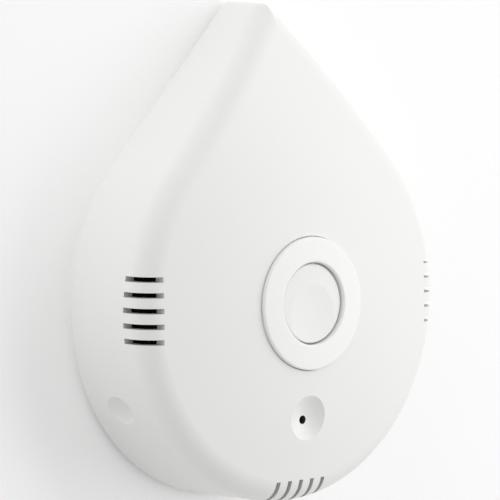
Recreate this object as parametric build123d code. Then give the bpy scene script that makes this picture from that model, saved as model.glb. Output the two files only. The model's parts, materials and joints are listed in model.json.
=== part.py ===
from build123d import *
from math import asin, cos, degrees, radians, sin, sqrt, tan
import os

# Water leak sensor, drop shaped, lying on its back with its face up.
# Lengths are millimetres, angles are degrees.
# The model is drawn with the centre of its round end at x = y = 0 and its back at z = 0,
# the tip pointing to +Y and the face to +Z. place() moves it so that the feet stand on z = 0.

# Housing outline: a large arc and a tip arc joined by their tangents
belly_radius = 38.0
tip_radius = 2.6
tip_centre_y = 52.5
draft_angle = 2.0

# Housing section
crown_height = 23.6
crown_radius = 153.0
crown_centre_y = -5.5
shoulder_radius = 5.0
tip_rim_radius = 1.2
tip_cutter_gap = 0.03
tip_end_share = 0.25
wall = 2.0
overrun = 12.0

# Vent slots across the shoulder
slot_count = 5
slot_pitch = 2.8
slot_width = 0.95
slot_wall_reach = 4.9
slot_face_reach = 4.3
side_slots_y = 0.3
screen_thickness = 0.35
screen_margin = 1.4

# Pin hole dish on the face
dish_rise = 0.85
dish_radius = 4.25
dish_depth = 1.6
dish_hole_radius = 0.8
dish_pad_radius = 5.6
dish_pad_depth = 1.5

# Grip dimples on the side walls
dimple_radius = 3.1
dimple_depth = 1.5
dimple_height = 7.8
dimple_angle = -30.0
dimple_wall = 1.2

# Clearances
joint_gap = 0.15
running_gap = 0.3
hole_gap = 0.1
pin_gap = 0.08
screen_gap = 0.05
touch_gap = 0.15

# Back cover
back_thickness = 2.0
lip_thickness = 1.2
lip_height = 3.0
lip_inset = 3.6
seal_width = 1.0
seal_height = 1.2
inner_tip_radius = 0.6

# Case screws and their bosses
case_screw_shank_radius = 1.2
case_screw_head_radius = 2.3
case_screw_head_height = 1.2
case_screw_length = 8.0
case_screw_slot_width = 0.7
boss_radius = 3.0
boss_gap = 1.5
lower_screw_angle = -55.0
upper_screw_angle = 20.0
tip_boss_radius = 2.7
tip_boss_gap = 1.6

# Feet
foot_radius = 4.0
foot_proud = 1.2
foot_pocket_depth = 0.5
foot_edge_bevel = 0.4
foot_inset = 3.6
foot_angle = -36.0
tip_foot_gap = 1.2

# Main board
board_underside = 12.0
board_thickness = 1.2
board_inset = 4.5
board_end_gap = 17.5
board_corner_radius = 2.0
board_notch_gap = 0.8

# Board posts and screws
post_radius = 2.5
post_inset = 8.2
lower_post_angle = -42.0
upper_post_angle = 37.0
board_screw_shank_radius = 0.95
board_screw_head_radius = 1.9
board_screw_head_height = 1.2
board_screw_head_bevel = 0.4
board_screw_length = 6.0
board_screw_slot_width = 0.6

# Coin cell
cell_radius = 12.25
cell_height = 7.7
cell_step_radius = 10.4
cell_step_height = 0.6
cell_step_bevel = 0.3
cell_edge_bevel = 0.4
cell_bay_margin = 6.6

# Battery cap
cap_thickness = 1.5
cap_spigot_wall = 1.2
cap_spigot_gap = 0.65
cap_flange_width = 2.5
cap_lug_width = 1.3
cap_lug_height = 1.0
cap_lug_angle = 24.0
cap_turn_angle = 35.0
cap_lug_count = 3
seat_thickness = 1.2
seat_wall = 1.5
cap_seal_height = 0.6
cap_seal_width = 1.6
coin_slot_width = 2.2
coin_slot_length = 16.0
coin_slot_depth = 0.8
coin_slot_corner_radius = 0.7
cap_edge_radius = 0.35

# Cell holder and contacts
holder_gap = 0.35
holder_wall = 1.4
holder_window_width = 7.0
holder_window_depth = 5.6
contact_thickness = 0.3
contact_width = 5.0
contact_pad_half = 3.0
contact_reach = 9.0
side_contact_bow = 0.35
side_contact_bend_shares = (0.33, 0.67)

# Water probes
probe_head_radius = 2.4
probe_head_height = 0.9
probe_shank_radius = 1.0
probe_edge_bevel = 0.35
probe_lip_gap = 0.2
probe_angle = -7.5
tip_probe_spread = 15.0
tip_probe_gap = 1.6
probe_nut_width = 4.0
probe_nut_sides = 6
probe_nut_height = 1.2
probe_shank_end = 0.6
pin_barrel_radius = 1.0
pin_plunger_radius = 0.6
pin_barrel_length = 5.6

# Siren
siren_height = 9.0
siren_wall = 1.2
siren_port_radius = 2.0
siren_gap = 2.6
siren_probe_gap = 0.34
siren_disc_inset = 1.9
siren_disc_thickness = 0.4
siren_disc_share = 0.5
siren_pin_radius = 0.4
siren_pin_inset = 2.3
siren_pin_length = 2.0
siren_rim_bevel = 0.6

# Test button, ring and switch
ring_radius = 12.3
ring_proud = 0.7
ring_floor = 21.9
ring_edge_radius = 0.35
ring_step_height = 0.7
ring_step_width = 1.0
spigot_wall = 1.1
spigot_length = 3.0
collar_width = 4.1
collar_depth = 2.3
snap_width = 0.5
snap_height = 0.5
snap_angle = 24.0
light_leg_width = 1.6
button_radius = 7.3
button_disc_thickness = 1.1
button_flange_thickness = 1.0
button_dish = 0.25
button_edge_radius = 0.3
button_stem_radius = 2.2
button_skirt_wall = 0.9
button_rib_thickness = 0.9
button_travel = 0.5
test_switch_width = 6.0
test_switch_height = 3.5
test_plunger_radius = 1.75
test_plunger_rise = 1.5
test_plunger_sunk = 1.4

# Reset switch
reset_switch_width = 4.6
reset_switch_height = 3.0
reset_plunger_radius = 1.2
reset_plunger_rise = 0.9
reset_plunger_sunk = 1.1
reset_travel = 0.3

# Switch details
switch_cover_thickness = 0.3
switch_rivet_radius = 0.45
switch_rivet_height = 0.2
switch_corner_radius = 0.4
switch_cover_inset = 0.45

# Status lights
light_length = 2.0
light_width = 1.3
light_height = 0.8
light_bevel = 0.2
light_count = 3
light_start_angle = 90.0

# Radio module
radio_width = 16.0
radio_length = 20.0
radio_board_thickness = 0.8
radio_end_gap = 1.5
shield_width = 14.0
shield_length = 13.0
shield_height = 2.0
shield_wall = 0.25
shield_corner_radius = 0.6
shield_top_bevel = 0.2
antenna_strip = 0.7
antenna_pitch = 1.7
antenna_reach = 3.6
antenna_thickness = 0.15
antenna_turns = 4

# Other board parts
processor_width = 7.0
processor_height = 0.9
processor_x = -15.0
processor_y = 3.0
processor_bevel = 0.15
processor_dot_radius = 0.3
processor_dot_depth = 0.15
processor_dot_inset = 0.9
crystal_length = 5.0
crystal_width = 3.2
crystal_height = 1.1
crystal_corner_radius = 0.8
crystal_top_bevel = 0.25
crystal_y = -4.0
capacitor_radius = 2.5
capacitor_height = 5.4
capacitor_base_height = 0.8
capacitor_x = 15.5
capacitor_y = 4.0
capacitor_groove_depth = 0.3
transformer_radius = 3.2
transformer_flange_height = 0.8
transformer_height = 4.0
transformer_core_radius = 1.6
transformer_winding_inset = 0.4
transformer_y = -6.0
climate_width = 3.0
climate_height = 1.0
climate_port_radius = 0.5
climate_port_depth = 0.5
climate_inset = 10.5

# Worked out from the sizes above
flank_angle = degrees(asin((belly_radius - tip_radius) / tip_centre_y))
flank_x = cos(radians(flank_angle))
flank_y = sin(radians(flank_angle))
draft_slope = tan(radians(draft_angle))
middle_y = (tip_centre_y + tip_radius - belly_radius) / 2
board_top = board_underside + board_thickness
cell_bottom = cap_thickness + running_gap
cell_top = cell_bottom + cell_height
spigot_inner = cell_radius + cap_spigot_gap
spigot_outer = spigot_inner + cap_spigot_wall
seat_bore = spigot_outer + running_gap
flange_radius = spigot_outer + cap_flange_width
recess_radius = flange_radius + running_gap
seat_low = cap_thickness + cap_seal_height + running_gap
seat_high = seat_low + seat_thickness
lug_low = seat_high + running_gap
lug_high = lug_low + cap_lug_height
screw_circle = belly_radius - wall - boss_radius - boss_gap
tip_screw_y = (belly_radius - wall - tip_boss_radius - tip_boss_gap) / flank_y
foot_circle = belly_radius - foot_radius - foot_inset
probe_nut_radius = probe_nut_width / 2 / cos(radians(180 / probe_nut_sides))
probe_circle = belly_radius - lip_inset - lip_thickness - probe_nut_radius - probe_lip_gap
tip_foot_y = tip_screw_y - case_screw_head_radius - tip_foot_gap - foot_radius
tip_probe_y = tip_foot_y - foot_radius - tip_probe_gap - probe_head_radius
cell_centre_y = recess_radius + seat_wall + cell_bay_margin - belly_radius
siren_start_y = cell_centre_y + recess_radius + seat_wall + siren_gap
siren_room = tip_probe_y - siren_start_y
siren_keep_out = probe_nut_radius + siren_probe_gap
siren_radius = (tip_probe_spread**2 / 4 + siren_room**2 - siren_keep_out**2) / 2
siren_radius = siren_radius / (siren_room + siren_keep_out)
siren_centre_y = siren_start_y + siren_radius
siren_disc_radius = siren_radius - siren_disc_inset
siren_pin_spread = 2 * (siren_radius - siren_pin_inset)
board_end_y = tip_centre_y - board_end_gap
radio_centre_y = board_end_y - radio_end_gap - radio_length / 2
dish_centre_y = dish_rise - (ring_radius + belly_radius - shoulder_radius) / 2
post_circle = belly_radius - post_inset
climate_x = climate_inset - belly_radius
ring_bore = button_radius + running_gap
ring_step_bore = ring_bore + ring_step_width
spigot_radius = ring_step_bore + spigot_wall
spigot_bottom = ring_floor - spigot_length
step_z = ring_floor + ring_step_height
button_flange_radius = ring_step_bore - running_gap
button_flange_top = step_z - running_gap
button_flange_bottom = button_flange_top - button_flange_thickness
test_plunger_top = board_top + test_switch_height + test_plunger_rise
light_circle = (ring_step_bore + spigot_radius) / 2


def polar(radius, angle):
    """Point on a circle about the origin."""
    return radius * cos(radians(angle)), radius * sin(radians(angle))


def both_sides(x, y):
    """The two mirrored places of a feature."""
    return [(-x, y), (x, y)]


case_screw_places = both_sides(*polar(screw_circle, lower_screw_angle))
case_screw_places += both_sides(*polar(screw_circle, upper_screw_angle))
foot_places = {
    "left": both_sides(*polar(foot_circle, foot_angle))[0],
    "right": both_sides(*polar(foot_circle, foot_angle))[1],
    "tip": (0, tip_foot_y),
}
probe_places = both_sides(*polar(probe_circle, probe_angle))
probe_places += both_sides(tip_probe_spread / 2, tip_probe_y)
post_places = both_sides(*polar(post_circle, lower_post_angle))
post_places += both_sides(*polar(post_circle, upper_post_angle))


def crown_z(x, y, drop=0):
    """Height of the crowned face, or of a surface that lies a drop below it."""
    radius = crown_radius - drop
    return crown_height - crown_radius + sqrt(radius**2 - x**2 - (y - crown_centre_y) ** 2)


def column(radius, low, high):
    """Upright cylinder between two heights."""
    return Pos(0, 0, (low + high) / 2) * Cylinder(radius, high - low)


def tube(outer, inner, low, high):
    """Upright ring between two heights."""
    return column(outer, low, high) - column(inner, low, high)


def block(width, length, low, high):
    """Upright box between two heights."""
    return Pos(0, 0, (low + high) / 2) * Box(width, length, high - low)


def turned(points):
    """Solid of revolution about Z from its (radius, height) corners."""
    with BuildSketch(Plane.XZ) as section:
        with BuildLine():
            Polyline(*points, close=True)
        make_face()
    return revolve(section.sketch, Axis.Z)


def at_places(shape, places):
    """Copies of a shape at each place."""
    copies = [Pos(x, y, 0) * shape for x, y in places]
    total = copies[0]
    for copy in copies[1:]:
        total = total + copy
    return total


def wedge(radius, angle, centre_angle, low, high):
    """Sector of a cylinder, for lugs and notches."""
    with BuildSketch() as sector:
        with BuildLine():
            start = polar(radius, centre_angle - angle / 2)
            middle = polar(radius, centre_angle)
            end = polar(radius, centre_angle + angle / 2)
            Line((0, 0), start)
            ThreePointArc(start, middle, end)
            Line(end, (0, 0))
        make_face()
    return Pos(0, 0, low) * extrude(sector.sketch, high - low)


def teardrop(inset, tip_round):
    """Housing outline moved inwards, with the given rounding at its tip."""
    big = belly_radius - inset
    tip_y = (big - tip_round) / flank_y
    right = (big * flank_x, big * flank_y)
    tip_right = (tip_round * flank_x, tip_y + tip_round * flank_y)
    with BuildSketch() as outline:
        with BuildLine():
            ThreePointArc((-right[0], right[1]), (0, -big), right)
            Line(right, tip_right)
            ThreePointArc(tip_right, (0, tip_y + tip_round), (-tip_right[0], tip_right[1]))
            Line((-tip_right[0], tip_right[1]), (-right[0], right[1]))
        make_face()
    return outline.sketch


def teardrop_plate(inset, tip_round, low, high):
    """Straight-sided plate with the housing outline."""
    return Pos(0, 0, low) * extrude(teardrop(inset, tip_round), high - low)


def flank_outline(inset):
    """Outline whose right flank runs on past the mid plane, so that its shoulder can be rounded."""
    big = belly_radius - inset
    run = big * flank_x / flank_y + overrun
    right = (big * flank_x, big * flank_y)
    end = (right[0] - run * flank_y, right[1] + run * flank_x)
    start = (-overrun, -sqrt(big**2 - overrun**2))
    with BuildSketch() as outline:
        with BuildLine():
            ThreePointArc(start, (0, -big), right)
            Line(right, end)
            Line(end, (start[0] - overrun, end[1]))
            Line((start[0] - overrun, end[1]), start)
        make_face()
    return outline.sketch


def drop_body(inset, tip_round):
    """Drop-shaped body with leaning walls, crowned face and rounded shoulder, moved inwards."""
    height = crown_height + overrun
    lean = height * draft_slope
    foot = flank_outline(inset)
    head = Pos(0, 0, height) * flank_outline(inset + lean)
    crown = Pos(0, crown_centre_y, crown_height - crown_radius) * Rotation(90, 0, 0)
    crown = crown * Sphere(crown_radius - inset)
    half = loft([foot.face(), head.face()], ruled=True) & crown
    face = half.faces().sort_by(Axis.Z)[-1]
    rim = [edge for edge in face.outer_wire().edges() if (edge @ 0.5).X > tip_radius]
    half = fillet(rim, shoulder_radius - inset)
    span = 2 * (belly_radius + tip_centre_y)
    right = half & (Pos(span / 2, 0, 0) * Box(span, 2 * span, 2 * span))
    whole = right + mirror(right, about=Plane.YZ)
    tip_lean = min(lean, tip_round * (1 - tip_end_share))
    reach = inset - tip_cutter_gap
    tip = tip_round + tip_cutter_gap
    post = loft(
        [
            teardrop(reach, tip).face(),
            (Pos(0, 0, height) * teardrop(reach + lean, tip - tip_lean)).face(),
        ],
        ruled=True,
    )
    return whole & post


def rounded_tip(body):
    """The outer body with the rim of its tip rounded."""
    tip_y = tip_centre_y - tip_radius
    rim = [
        edge
        for edge in body.edges()
        if (edge @ 0.5).Y > tip_y and (edge @ 0).Z > wall and (edge @ 1).Z > wall
        and abs((edge @ 0).X - (edge @ 1).X) > wall / 2
    ]
    return fillet(rim, tip_rim_radius)


outer_body = rounded_tip(drop_body(0, tip_radius))
inner_body = drop_body(wall, inner_tip_radius)


def slot_row(edge_z):
    """Cutters of one vent row on the +X side, across a shoulder whose sharp edge is at a height.

    Each slot ends in a level face in the wall and in an upright face in the shoulder.
    """
    edge_x = belly_radius - edge_z * draft_slope
    length = slot_face_reach + overrun
    slot = block(length, slot_width, edge_z - slot_wall_reach, edge_z + overrun)
    slot = Pos(edge_x - slot_face_reach + length / 2, 0, 0) * slot
    offsets = [(i - (slot_count - 1) / 2) * slot_pitch for i in range(slot_count)]
    return at_places(slot, [(0, offset) for offset in offsets])


def slot_cutters():
    """Cutters of the three vent rows: right, left and round end."""
    right = Pos(0, side_slots_y, 0) * slot_row(crown_z(belly_radius, 0))
    bottom = Rotation(0, 0, -90) * slot_row(crown_z(0, -belly_radius))
    return right + mirror(right, about=Plane.YZ) + bottom


def dish_tool():
    """Ball that cuts the dish, and the hole through its floor."""
    ball = (dish_radius**2 + dish_depth**2) / (2 * dish_depth)
    surface = crown_z(0, dish_centre_y)
    bowl = Pos(0, dish_centre_y, surface + ball - dish_depth) * Sphere(ball)
    hole = Pos(0, dish_centre_y, 0) * column(dish_hole_radius, board_top, crown_height)
    return bowl + hole


def dimple_ball(extra):
    """Ball centred outside the wall, for a grip dimple or its backing."""
    ball = (dimple_radius**2 + dimple_depth**2) / (2 * dimple_depth)
    wall_radius = belly_radius - dimple_height * draft_slope
    x, y = polar(wall_radius + ball - dimple_depth, dimple_angle)
    right = Pos(x, y, dimple_height) * Sphere(ball + extra)
    return right + mirror(right, about=Plane.YZ)


def screw_boss(radius, length):
    """Boss for a case screw, standing on the back cover and reaching into the face."""
    boss = column(radius, back_thickness, crown_height)
    pilot = column(case_screw_shank_radius + pin_gap, 0, back_thickness + length)
    return boss, pilot


def front_cover():
    """Moulded drop shell with vents, dish, button collar, dimples and screw bosses."""
    shell = outer_body - inner_body
    boss, pilot = screw_boss(boss_radius, case_screw_length)
    tip_boss, tip_pilot = screw_boss(tip_boss_radius, case_screw_length)
    bosses = at_places(boss, case_screw_places) + Pos(0, tip_screw_y, 0) * tip_boss
    pilots = at_places(pilot, case_screw_places) + Pos(0, tip_screw_y, 0) * tip_pilot
    collar = column(spigot_radius + collar_width, ring_floor - collar_depth, crown_height)
    pad_top = crown_z(0, dish_centre_y)
    pad_low = pad_top - wall - dish_pad_depth
    pad = Pos(0, dish_centre_y, 0) * column(dish_pad_radius, pad_low, pad_top)
    cores = bosses + collar + pad + dimple_ball(dimple_wall)
    cover = shell + (cores & outer_body)
    seat = column(ring_radius + joint_gap, ring_floor, 2 * crown_height)
    opening = column(spigot_radius + joint_gap, 0, crown_height)
    return cover - (pilots + seat + opening + dish_tool() + dimple_ball(0) + slot_cutters())


def vent_screens():
    """Fine dark mesh pads behind the three rows of slots."""
    sheet = drop_body(wall + screen_gap, inner_tip_radius)
    sheet = sheet - drop_body(wall + screen_gap + screen_thickness, inner_tip_radius)
    span = slot_count * slot_pitch + screen_margin
    low = crown_z(belly_radius, 0) - slot_wall_reach - screen_margin
    reach = slot_face_reach + 2 * screen_margin
    window = block(reach, span, low, crown_height)
    right = Pos(belly_radius - reach / 2, side_slots_y, 0) * window
    bottom = Pos(0, reach / 2 - belly_radius, 0) * Rotation(0, 0, 90) * window
    return sheet & (right + mirror(right, about=Plane.YZ) + bottom)


def back_cover():
    """Back plate with rim lip, battery opening, screw and probe holes, board posts."""
    inset = wall + joint_gap
    plate = teardrop_plate(inset, inner_tip_radius, 0, back_thickness)
    lip_top = back_thickness + lip_height
    lip = teardrop_plate(lip_inset, inner_tip_radius, 0, lip_top)
    lip = lip - teardrop_plate(lip_inset + lip_thickness, inner_tip_radius, 0, lip_top)
    room = column(boss_radius + running_gap, back_thickness, lip_top)
    tip_room = column(tip_boss_radius + running_gap, back_thickness, lip_top)
    seat = tube(recess_radius + seat_wall, seat_bore, 0, seat_high)
    rims = lip + Pos(0, cell_centre_y, 0) * seat
    rims = rims - at_places(room, case_screw_places) - Pos(0, tip_screw_y, 0) * tip_room
    plate = plate + rims
    post = column(post_radius, 0, board_underside)
    plate = plate + at_places(post, post_places)
    cuts = Pos(0, cell_centre_y, 0) * battery_opening()
    cuts = cuts + at_places(case_screw_hole(), case_screw_places + [(0, tip_screw_y)])
    cuts = cuts + at_places(column(probe_shank_radius + hole_gap, 0, back_thickness), probe_places)
    pocket = column(foot_radius + hole_gap, 0, foot_pocket_depth)
    cuts = cuts + at_places(pocket, foot_places.values())
    pilot = column(
        board_screw_shank_radius + pin_gap, board_top - board_screw_length, board_underside
    )
    cuts = cuts + at_places(pilot, post_places)
    return plate - cuts


def battery_opening():
    """Recess for the cap's flange, bore for its spigot and notches for its lugs."""
    hollow = column(recess_radius, 0, seat_low) + column(seat_bore, 0, seat_high)
    reach = spigot_outer + cap_lug_width + running_gap
    for i in range(cap_lug_count):
        centre = i * 360 / cap_lug_count - cap_turn_angle
        width = cap_lug_angle + degrees(2 * running_gap / spigot_outer)
        hollow = hollow + wedge(reach, width, centre, 0, seat_high)
    return hollow


def case_screw_hole():
    """Countersunk clearance hole in the back cover."""
    low = case_screw_head_radius + hole_gap
    high = case_screw_shank_radius + hole_gap
    cone = turned([(0, 0), (low, 0), (high, case_screw_head_height), (0, case_screw_head_height)])
    return cone + column(high, 0, back_thickness)


def rim_seal():
    """Seal ring lying on the edge of the back plate, against the housing wall."""
    high = back_thickness + seal_height
    inset = wall + back_thickness * draft_slope + joint_gap
    ring = teardrop_plate(inset, inner_tip_radius, back_thickness, high)
    inner = teardrop_plate(inset + seal_width, inner_tip_radius, back_thickness, high)
    return ring - inner


def foot():
    """Round rubber foot glued into its pocket."""
    pad = column(foot_radius, -foot_proud, foot_pocket_depth)
    return chamfer(pad.edges().sort_by(Axis.Z)[0], foot_edge_bevel)


def case_screws():
    """Five countersunk screws that hold the housing together."""
    shank = case_screw_shank_radius
    head = case_screw_head_radius
    screw = turned(
        [
            (0, 0),
            (head, 0),
            (shank, case_screw_head_height),
            (shank, case_screw_length - shank),
            (shank / 2, case_screw_length),
            (0, case_screw_length),
        ]
    )
    slot = block(2 * head, case_screw_slot_width, 0, case_screw_slot_width)
    return at_places(screw - slot, case_screw_places + [(0, tip_screw_y)])


def board_screws():
    """Four pan-head screws that hold the main board on its posts."""
    head_top = board_top + board_screw_head_height
    shank = column(board_screw_shank_radius, board_top - board_screw_length + pin_gap, board_top)
    head = column(board_screw_head_radius, board_top, head_top)
    head = chamfer(head.edges().sort_by(Axis.Z)[-1], board_screw_head_bevel)
    slot_low = head_top - board_screw_slot_width
    slot = block(2 * board_screw_head_radius, board_screw_slot_width, slot_low, head_top)
    return at_places(shank + head - slot, post_places)


def main_board():
    """Circuit board cut to the housing outline, with notches for the bosses."""
    board = teardrop_plate(board_inset, tip_radius, board_underside, board_top)
    length = belly_radius + board_end_y
    window = Pos(0, board_end_y - length / 2, 0)
    window = window * block(2 * belly_radius, length, board_underside, board_top)
    board = board & window
    corners = board.edges().filter_by(Axis.Z).group_by(Axis.Y)[-1]
    board = fillet(corners, board_corner_radius)
    notch = column(boss_radius + board_notch_gap, board_underside, board_top)
    hole = column(board_screw_shank_radius + hole_gap, board_underside, board_top)
    pin = Pos(0, siren_centre_y, 0) * at_places(
        column(siren_pin_radius + hole_gap, board_underside, board_top),
        both_sides(siren_pin_spread / 2, 0),
    )
    return board - at_places(notch, case_screw_places) - at_places(hole, post_places) - pin


def coin_cell():
    """Coin cell: wide can below, narrower cap above."""
    can_top = cell_top - cell_step_height
    can = column(cell_radius, cell_bottom, can_top)
    can = chamfer(can.edges().sort_by(Axis.Z)[0], cell_edge_bevel)
    step = column(cell_step_radius, can_top, cell_top)
    step = chamfer(step.edges().sort_by(Axis.Z)[-1], cell_step_bevel)
    return Pos(0, cell_centre_y, 0) * (can + step)


def battery_cap():
    """Quarter-turn cap with spigot, three lugs and a coin slot."""
    flange = column(flange_radius, 0, cap_thickness)
    flange = fillet(flange.edges().sort_by(Axis.Z)[0], cap_edge_radius)
    cap = flange + tube(spigot_outer, spigot_inner, cap_thickness, lug_high)
    for i in range(cap_lug_count):
        sector = wedge(
            spigot_outer + cap_lug_width, cap_lug_angle, i * 360 / cap_lug_count, lug_low, lug_high
        )
        cap = cap + (sector - column(spigot_inner, lug_low, lug_high))
    slot = block(coin_slot_length, coin_slot_width, 0, coin_slot_depth)
    ends = fillet(slot.edges().filter_by(Axis.Z), coin_slot_corner_radius)
    return Pos(0, cell_centre_y, 0) * (cap - ends)


def cap_seal():
    """Flat rubber ring on the cap's flange."""
    inner = flange_radius - running_gap - cap_seal_width
    ring = tube(
        flange_radius - running_gap, inner, cap_thickness, cap_thickness + cap_seal_height
    )
    return Pos(0, cell_centre_y, 0) * ring


def cell_holder():
    """Moulded ring under the board that guides the cell, open where the side contact is."""
    inner = cell_radius + holder_gap
    outer = inner + holder_wall
    low = lug_high + running_gap
    ring = tube(outer, inner, low, board_underside)
    window = Pos(outer, 0, 0) * block(holder_window_depth, holder_window_width, low, board_underside)
    return Pos(0, cell_centre_y, 0) * (ring - window)


def strip(points, thickness, width):
    """Bent sheet strip: a path in the XZ plane given thickness and width along Y."""
    with BuildSketch(Plane.XZ) as section:
        with BuildLine():
            path = Polyline(*points)
            offset(path, amount=thickness / 2, side=Side.BOTH)
        make_face()
    return extrude(section.sketch, width / 2, both=True)


def negative_contact():
    """Leaf spring between the board and the middle of the cell."""
    half = contact_thickness / 2
    high = board_underside - half
    low = cell_top + half
    leaf = strip(
        [
            (-contact_reach, high),
            (-contact_reach + contact_pad_half, high),
            (-contact_pad_half / 2, low),
            (contact_pad_half / 2, low),
            (contact_reach - contact_pad_half, high),
            (contact_reach, high),
        ],
        contact_thickness,
        contact_width,
    )
    return Pos(0, cell_centre_y, 0) * leaf


def positive_contact():
    """Side spring that presses on the can of the cell through the holder's window."""
    half = contact_thickness / 2
    near = cell_radius + half + screen_gap
    far = near + side_contact_bow + holder_gap
    low = lug_high + running_gap + half
    high = board_underside - half
    bends = [low + share * (high - low) for share in side_contact_bend_shares]
    leaf = strip(
        [
            (far, low),
            (near, bends[0]),
            (far, bends[1]),
            (far, high),
            (far + contact_pad_half, high),
        ],
        contact_thickness,
        contact_width,
    )
    return Pos(0, cell_centre_y, 0) * leaf


def probe_contacts():
    """Four probe studs whose heads stand just above the floor."""
    head = column(probe_head_radius, -probe_head_height, 0)
    head = chamfer(head.edges().sort_by(Axis.Z)[0], probe_edge_bevel)
    top = back_thickness + probe_nut_height + probe_shank_end
    stud = head + column(probe_shank_radius, 0, top)
    return at_places(stud, probe_places)


def probe_nuts():
    """Hexagon nuts that clamp the probe studs to the back cover."""
    hexagon = RegularPolygon(probe_nut_radius, probe_nut_sides)
    nut = Pos(0, 0, back_thickness) * extrude(hexagon, probe_nut_height)
    bore = column(probe_shank_radius + screen_gap, 0, back_thickness + probe_nut_height)
    return at_places(nut - bore, probe_places)


def probe_pins():
    """Spring pins that carry each probe's signal up to the board."""
    low = back_thickness + probe_nut_height + probe_shank_end
    middle = board_underside - pin_barrel_length
    pin = column(pin_barrel_radius, middle, board_underside)
    pin = pin + column(pin_plunger_radius, low, middle)
    return at_places(pin, probe_places)


def siren_case():
    """Round siren under the board, a cup with a sound port and a bevelled rim."""
    low = board_underside - siren_height
    case = column(siren_radius, low, board_underside)
    case = chamfer(case.edges().sort_by(Axis.Z)[0], siren_rim_bevel)
    hollow = column(siren_radius - siren_wall, low + siren_wall, board_underside - siren_wall)
    port = column(siren_port_radius, low, low + siren_wall)
    pins = at_places(
        column(siren_pin_radius + hole_gap, board_underside - siren_wall, board_underside),
        both_sides(siren_pin_spread / 2, 0),
    )
    ledge_z = low + siren_wall + (siren_height - 2 * siren_wall) * siren_disc_share
    ledge = tube(
        siren_radius - siren_wall, siren_disc_radius - siren_wall, low + siren_wall, ledge_z
    )
    return Pos(0, siren_centre_y, 0) * (case - hollow - port - pins + ledge)


def siren_disc():
    """Brass disc of the siren, lying on its ledge."""
    low = board_underside - siren_height + siren_wall
    low = low + (siren_height - 2 * siren_wall) * siren_disc_share
    disc = column(siren_disc_radius, low, low + siren_disc_thickness)
    return Pos(0, siren_centre_y, 0) * disc


def siren_pins():
    """Two pins that join the siren's disc to the board."""
    low = board_underside - siren_height + siren_wall + siren_disc_thickness
    low = low + (siren_height - 2 * siren_wall) * siren_disc_share
    pin = column(siren_pin_radius, low, board_underside + siren_pin_length)
    return Pos(0, siren_centre_y, 0) * at_places(pin, both_sides(siren_pin_spread / 2, 0))


def crowned(shape, rise):
    """The shape cut off by a surface that follows the face at a rise above it."""
    ball = Pos(0, crown_centre_y, crown_height - crown_radius) * Rotation(90, 0, 0)
    return shape & (ball * Sphere(crown_radius + rise))


def button_ring():
    """Milky ring round the button, which carries the status light up to the face."""
    high = crown_height + 2 * ring_proud
    ring = tube(ring_radius, ring_bore, ring_floor, high)
    ring = crowned(ring, ring_proud)
    rims = [edge for edge in ring.edges() if edge.bounding_box().min.Z > step_z]
    ring = fillet([edge for edge in rims if edge.length > 2 * ring_bore], ring_edge_radius)
    ring = ring - column(ring_step_bore, 0, step_z)
    ring = ring + tube(spigot_radius, ring_step_bore, spigot_bottom, step_z)
    leg_low = board_top + light_height + running_gap
    collar_low = ring_floor - collar_depth
    for i in range(light_count):
        angle = light_start_angle + i * 360 / light_count
        x, y = polar(light_circle, angle)
        leg = block(spigot_wall, light_leg_width, leg_low, ring_floor)
        ring = ring + Pos(x, y, 0) * Rotation(0, 0, angle) * leg
        bead = wedge(
            spigot_radius + snap_width,
            snap_angle,
            angle + 180 / light_count,
            collar_low - joint_gap - snap_height,
            collar_low - joint_gap,
        )
        ring = ring + (bead - column(ring_step_bore, 0, high))
    return ring


def test_button():
    """Round push button with a dished top, a retaining flange and a stem."""
    top = column(button_radius, button_flange_bottom, crown_height)
    top = crowned(top, 0)
    rim = [edge for edge in top.edges() if edge.bounding_box().min.Z > button_flange_top]
    top = fillet([edge for edge in rim if edge.length > 2 * button_radius], button_edge_radius)
    button = top + column(button_flange_radius, button_flange_bottom, button_flange_top)
    chord = button_radius - button_skirt_wall
    ball = (chord**2 + button_dish**2) / (2 * button_dish)
    button = button - Pos(0, 0, crown_z(0, 0) - button_dish + ball) * Sphere(ball)
    hollow_top = crown_z(0, button_radius) - button_disc_thickness
    hollow = column(button_radius - button_skirt_wall, button_flange_bottom, hollow_top)
    stem_low = test_plunger_top + touch_gap
    stem = column(button_stem_radius, stem_low, hollow_top)
    rib_length = 2 * button_radius - button_skirt_wall
    rib = block(rib_length, button_rib_thickness, button_flange_bottom, hollow_top)
    ribs = rib + Rotation(0, 0, 90) * rib
    return button - hollow + stem + ribs


def switch_body(width, height, plunger_radius, sunk):
    """Tactile switch: moulded base, steel cover plate with four rivets, plunger well."""
    top = board_top + height
    cover_low = top - switch_cover_thickness
    body = block(width, width, board_top, cover_low)
    body = fillet(body.edges().filter_by(Axis.Z), switch_corner_radius)
    cover = width - switch_cover_inset
    body = body + block(cover, cover, cover_low, top)
    rivet = column(switch_rivet_radius, top, top + switch_rivet_height)
    corner = width / 2 - 2 * switch_rivet_radius
    body = body + at_places(rivet, both_sides(corner, corner) + both_sides(corner, -corner))
    return body - column(plunger_radius + pin_gap, top - sunk, top + height)


def test_switch():
    """Tactile switch under the test button."""
    well = test_plunger_sunk + button_travel + hole_gap
    return switch_body(test_switch_width, test_switch_height, test_plunger_radius, well)


def test_switch_plunger():
    """Plunger of the test switch."""
    top = board_top + test_switch_height
    pin = column(test_plunger_radius, top - test_plunger_sunk, test_plunger_top)
    return chamfer(pin.edges().sort_by(Axis.Z)[-1], switch_rivet_height)


def reset_switch():
    """Tactile switch under the pin hole."""
    well = reset_plunger_sunk + reset_travel + pin_gap
    body = switch_body(reset_switch_width, reset_switch_height, reset_plunger_radius, well)
    return Pos(0, dish_centre_y, 0) * body


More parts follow.
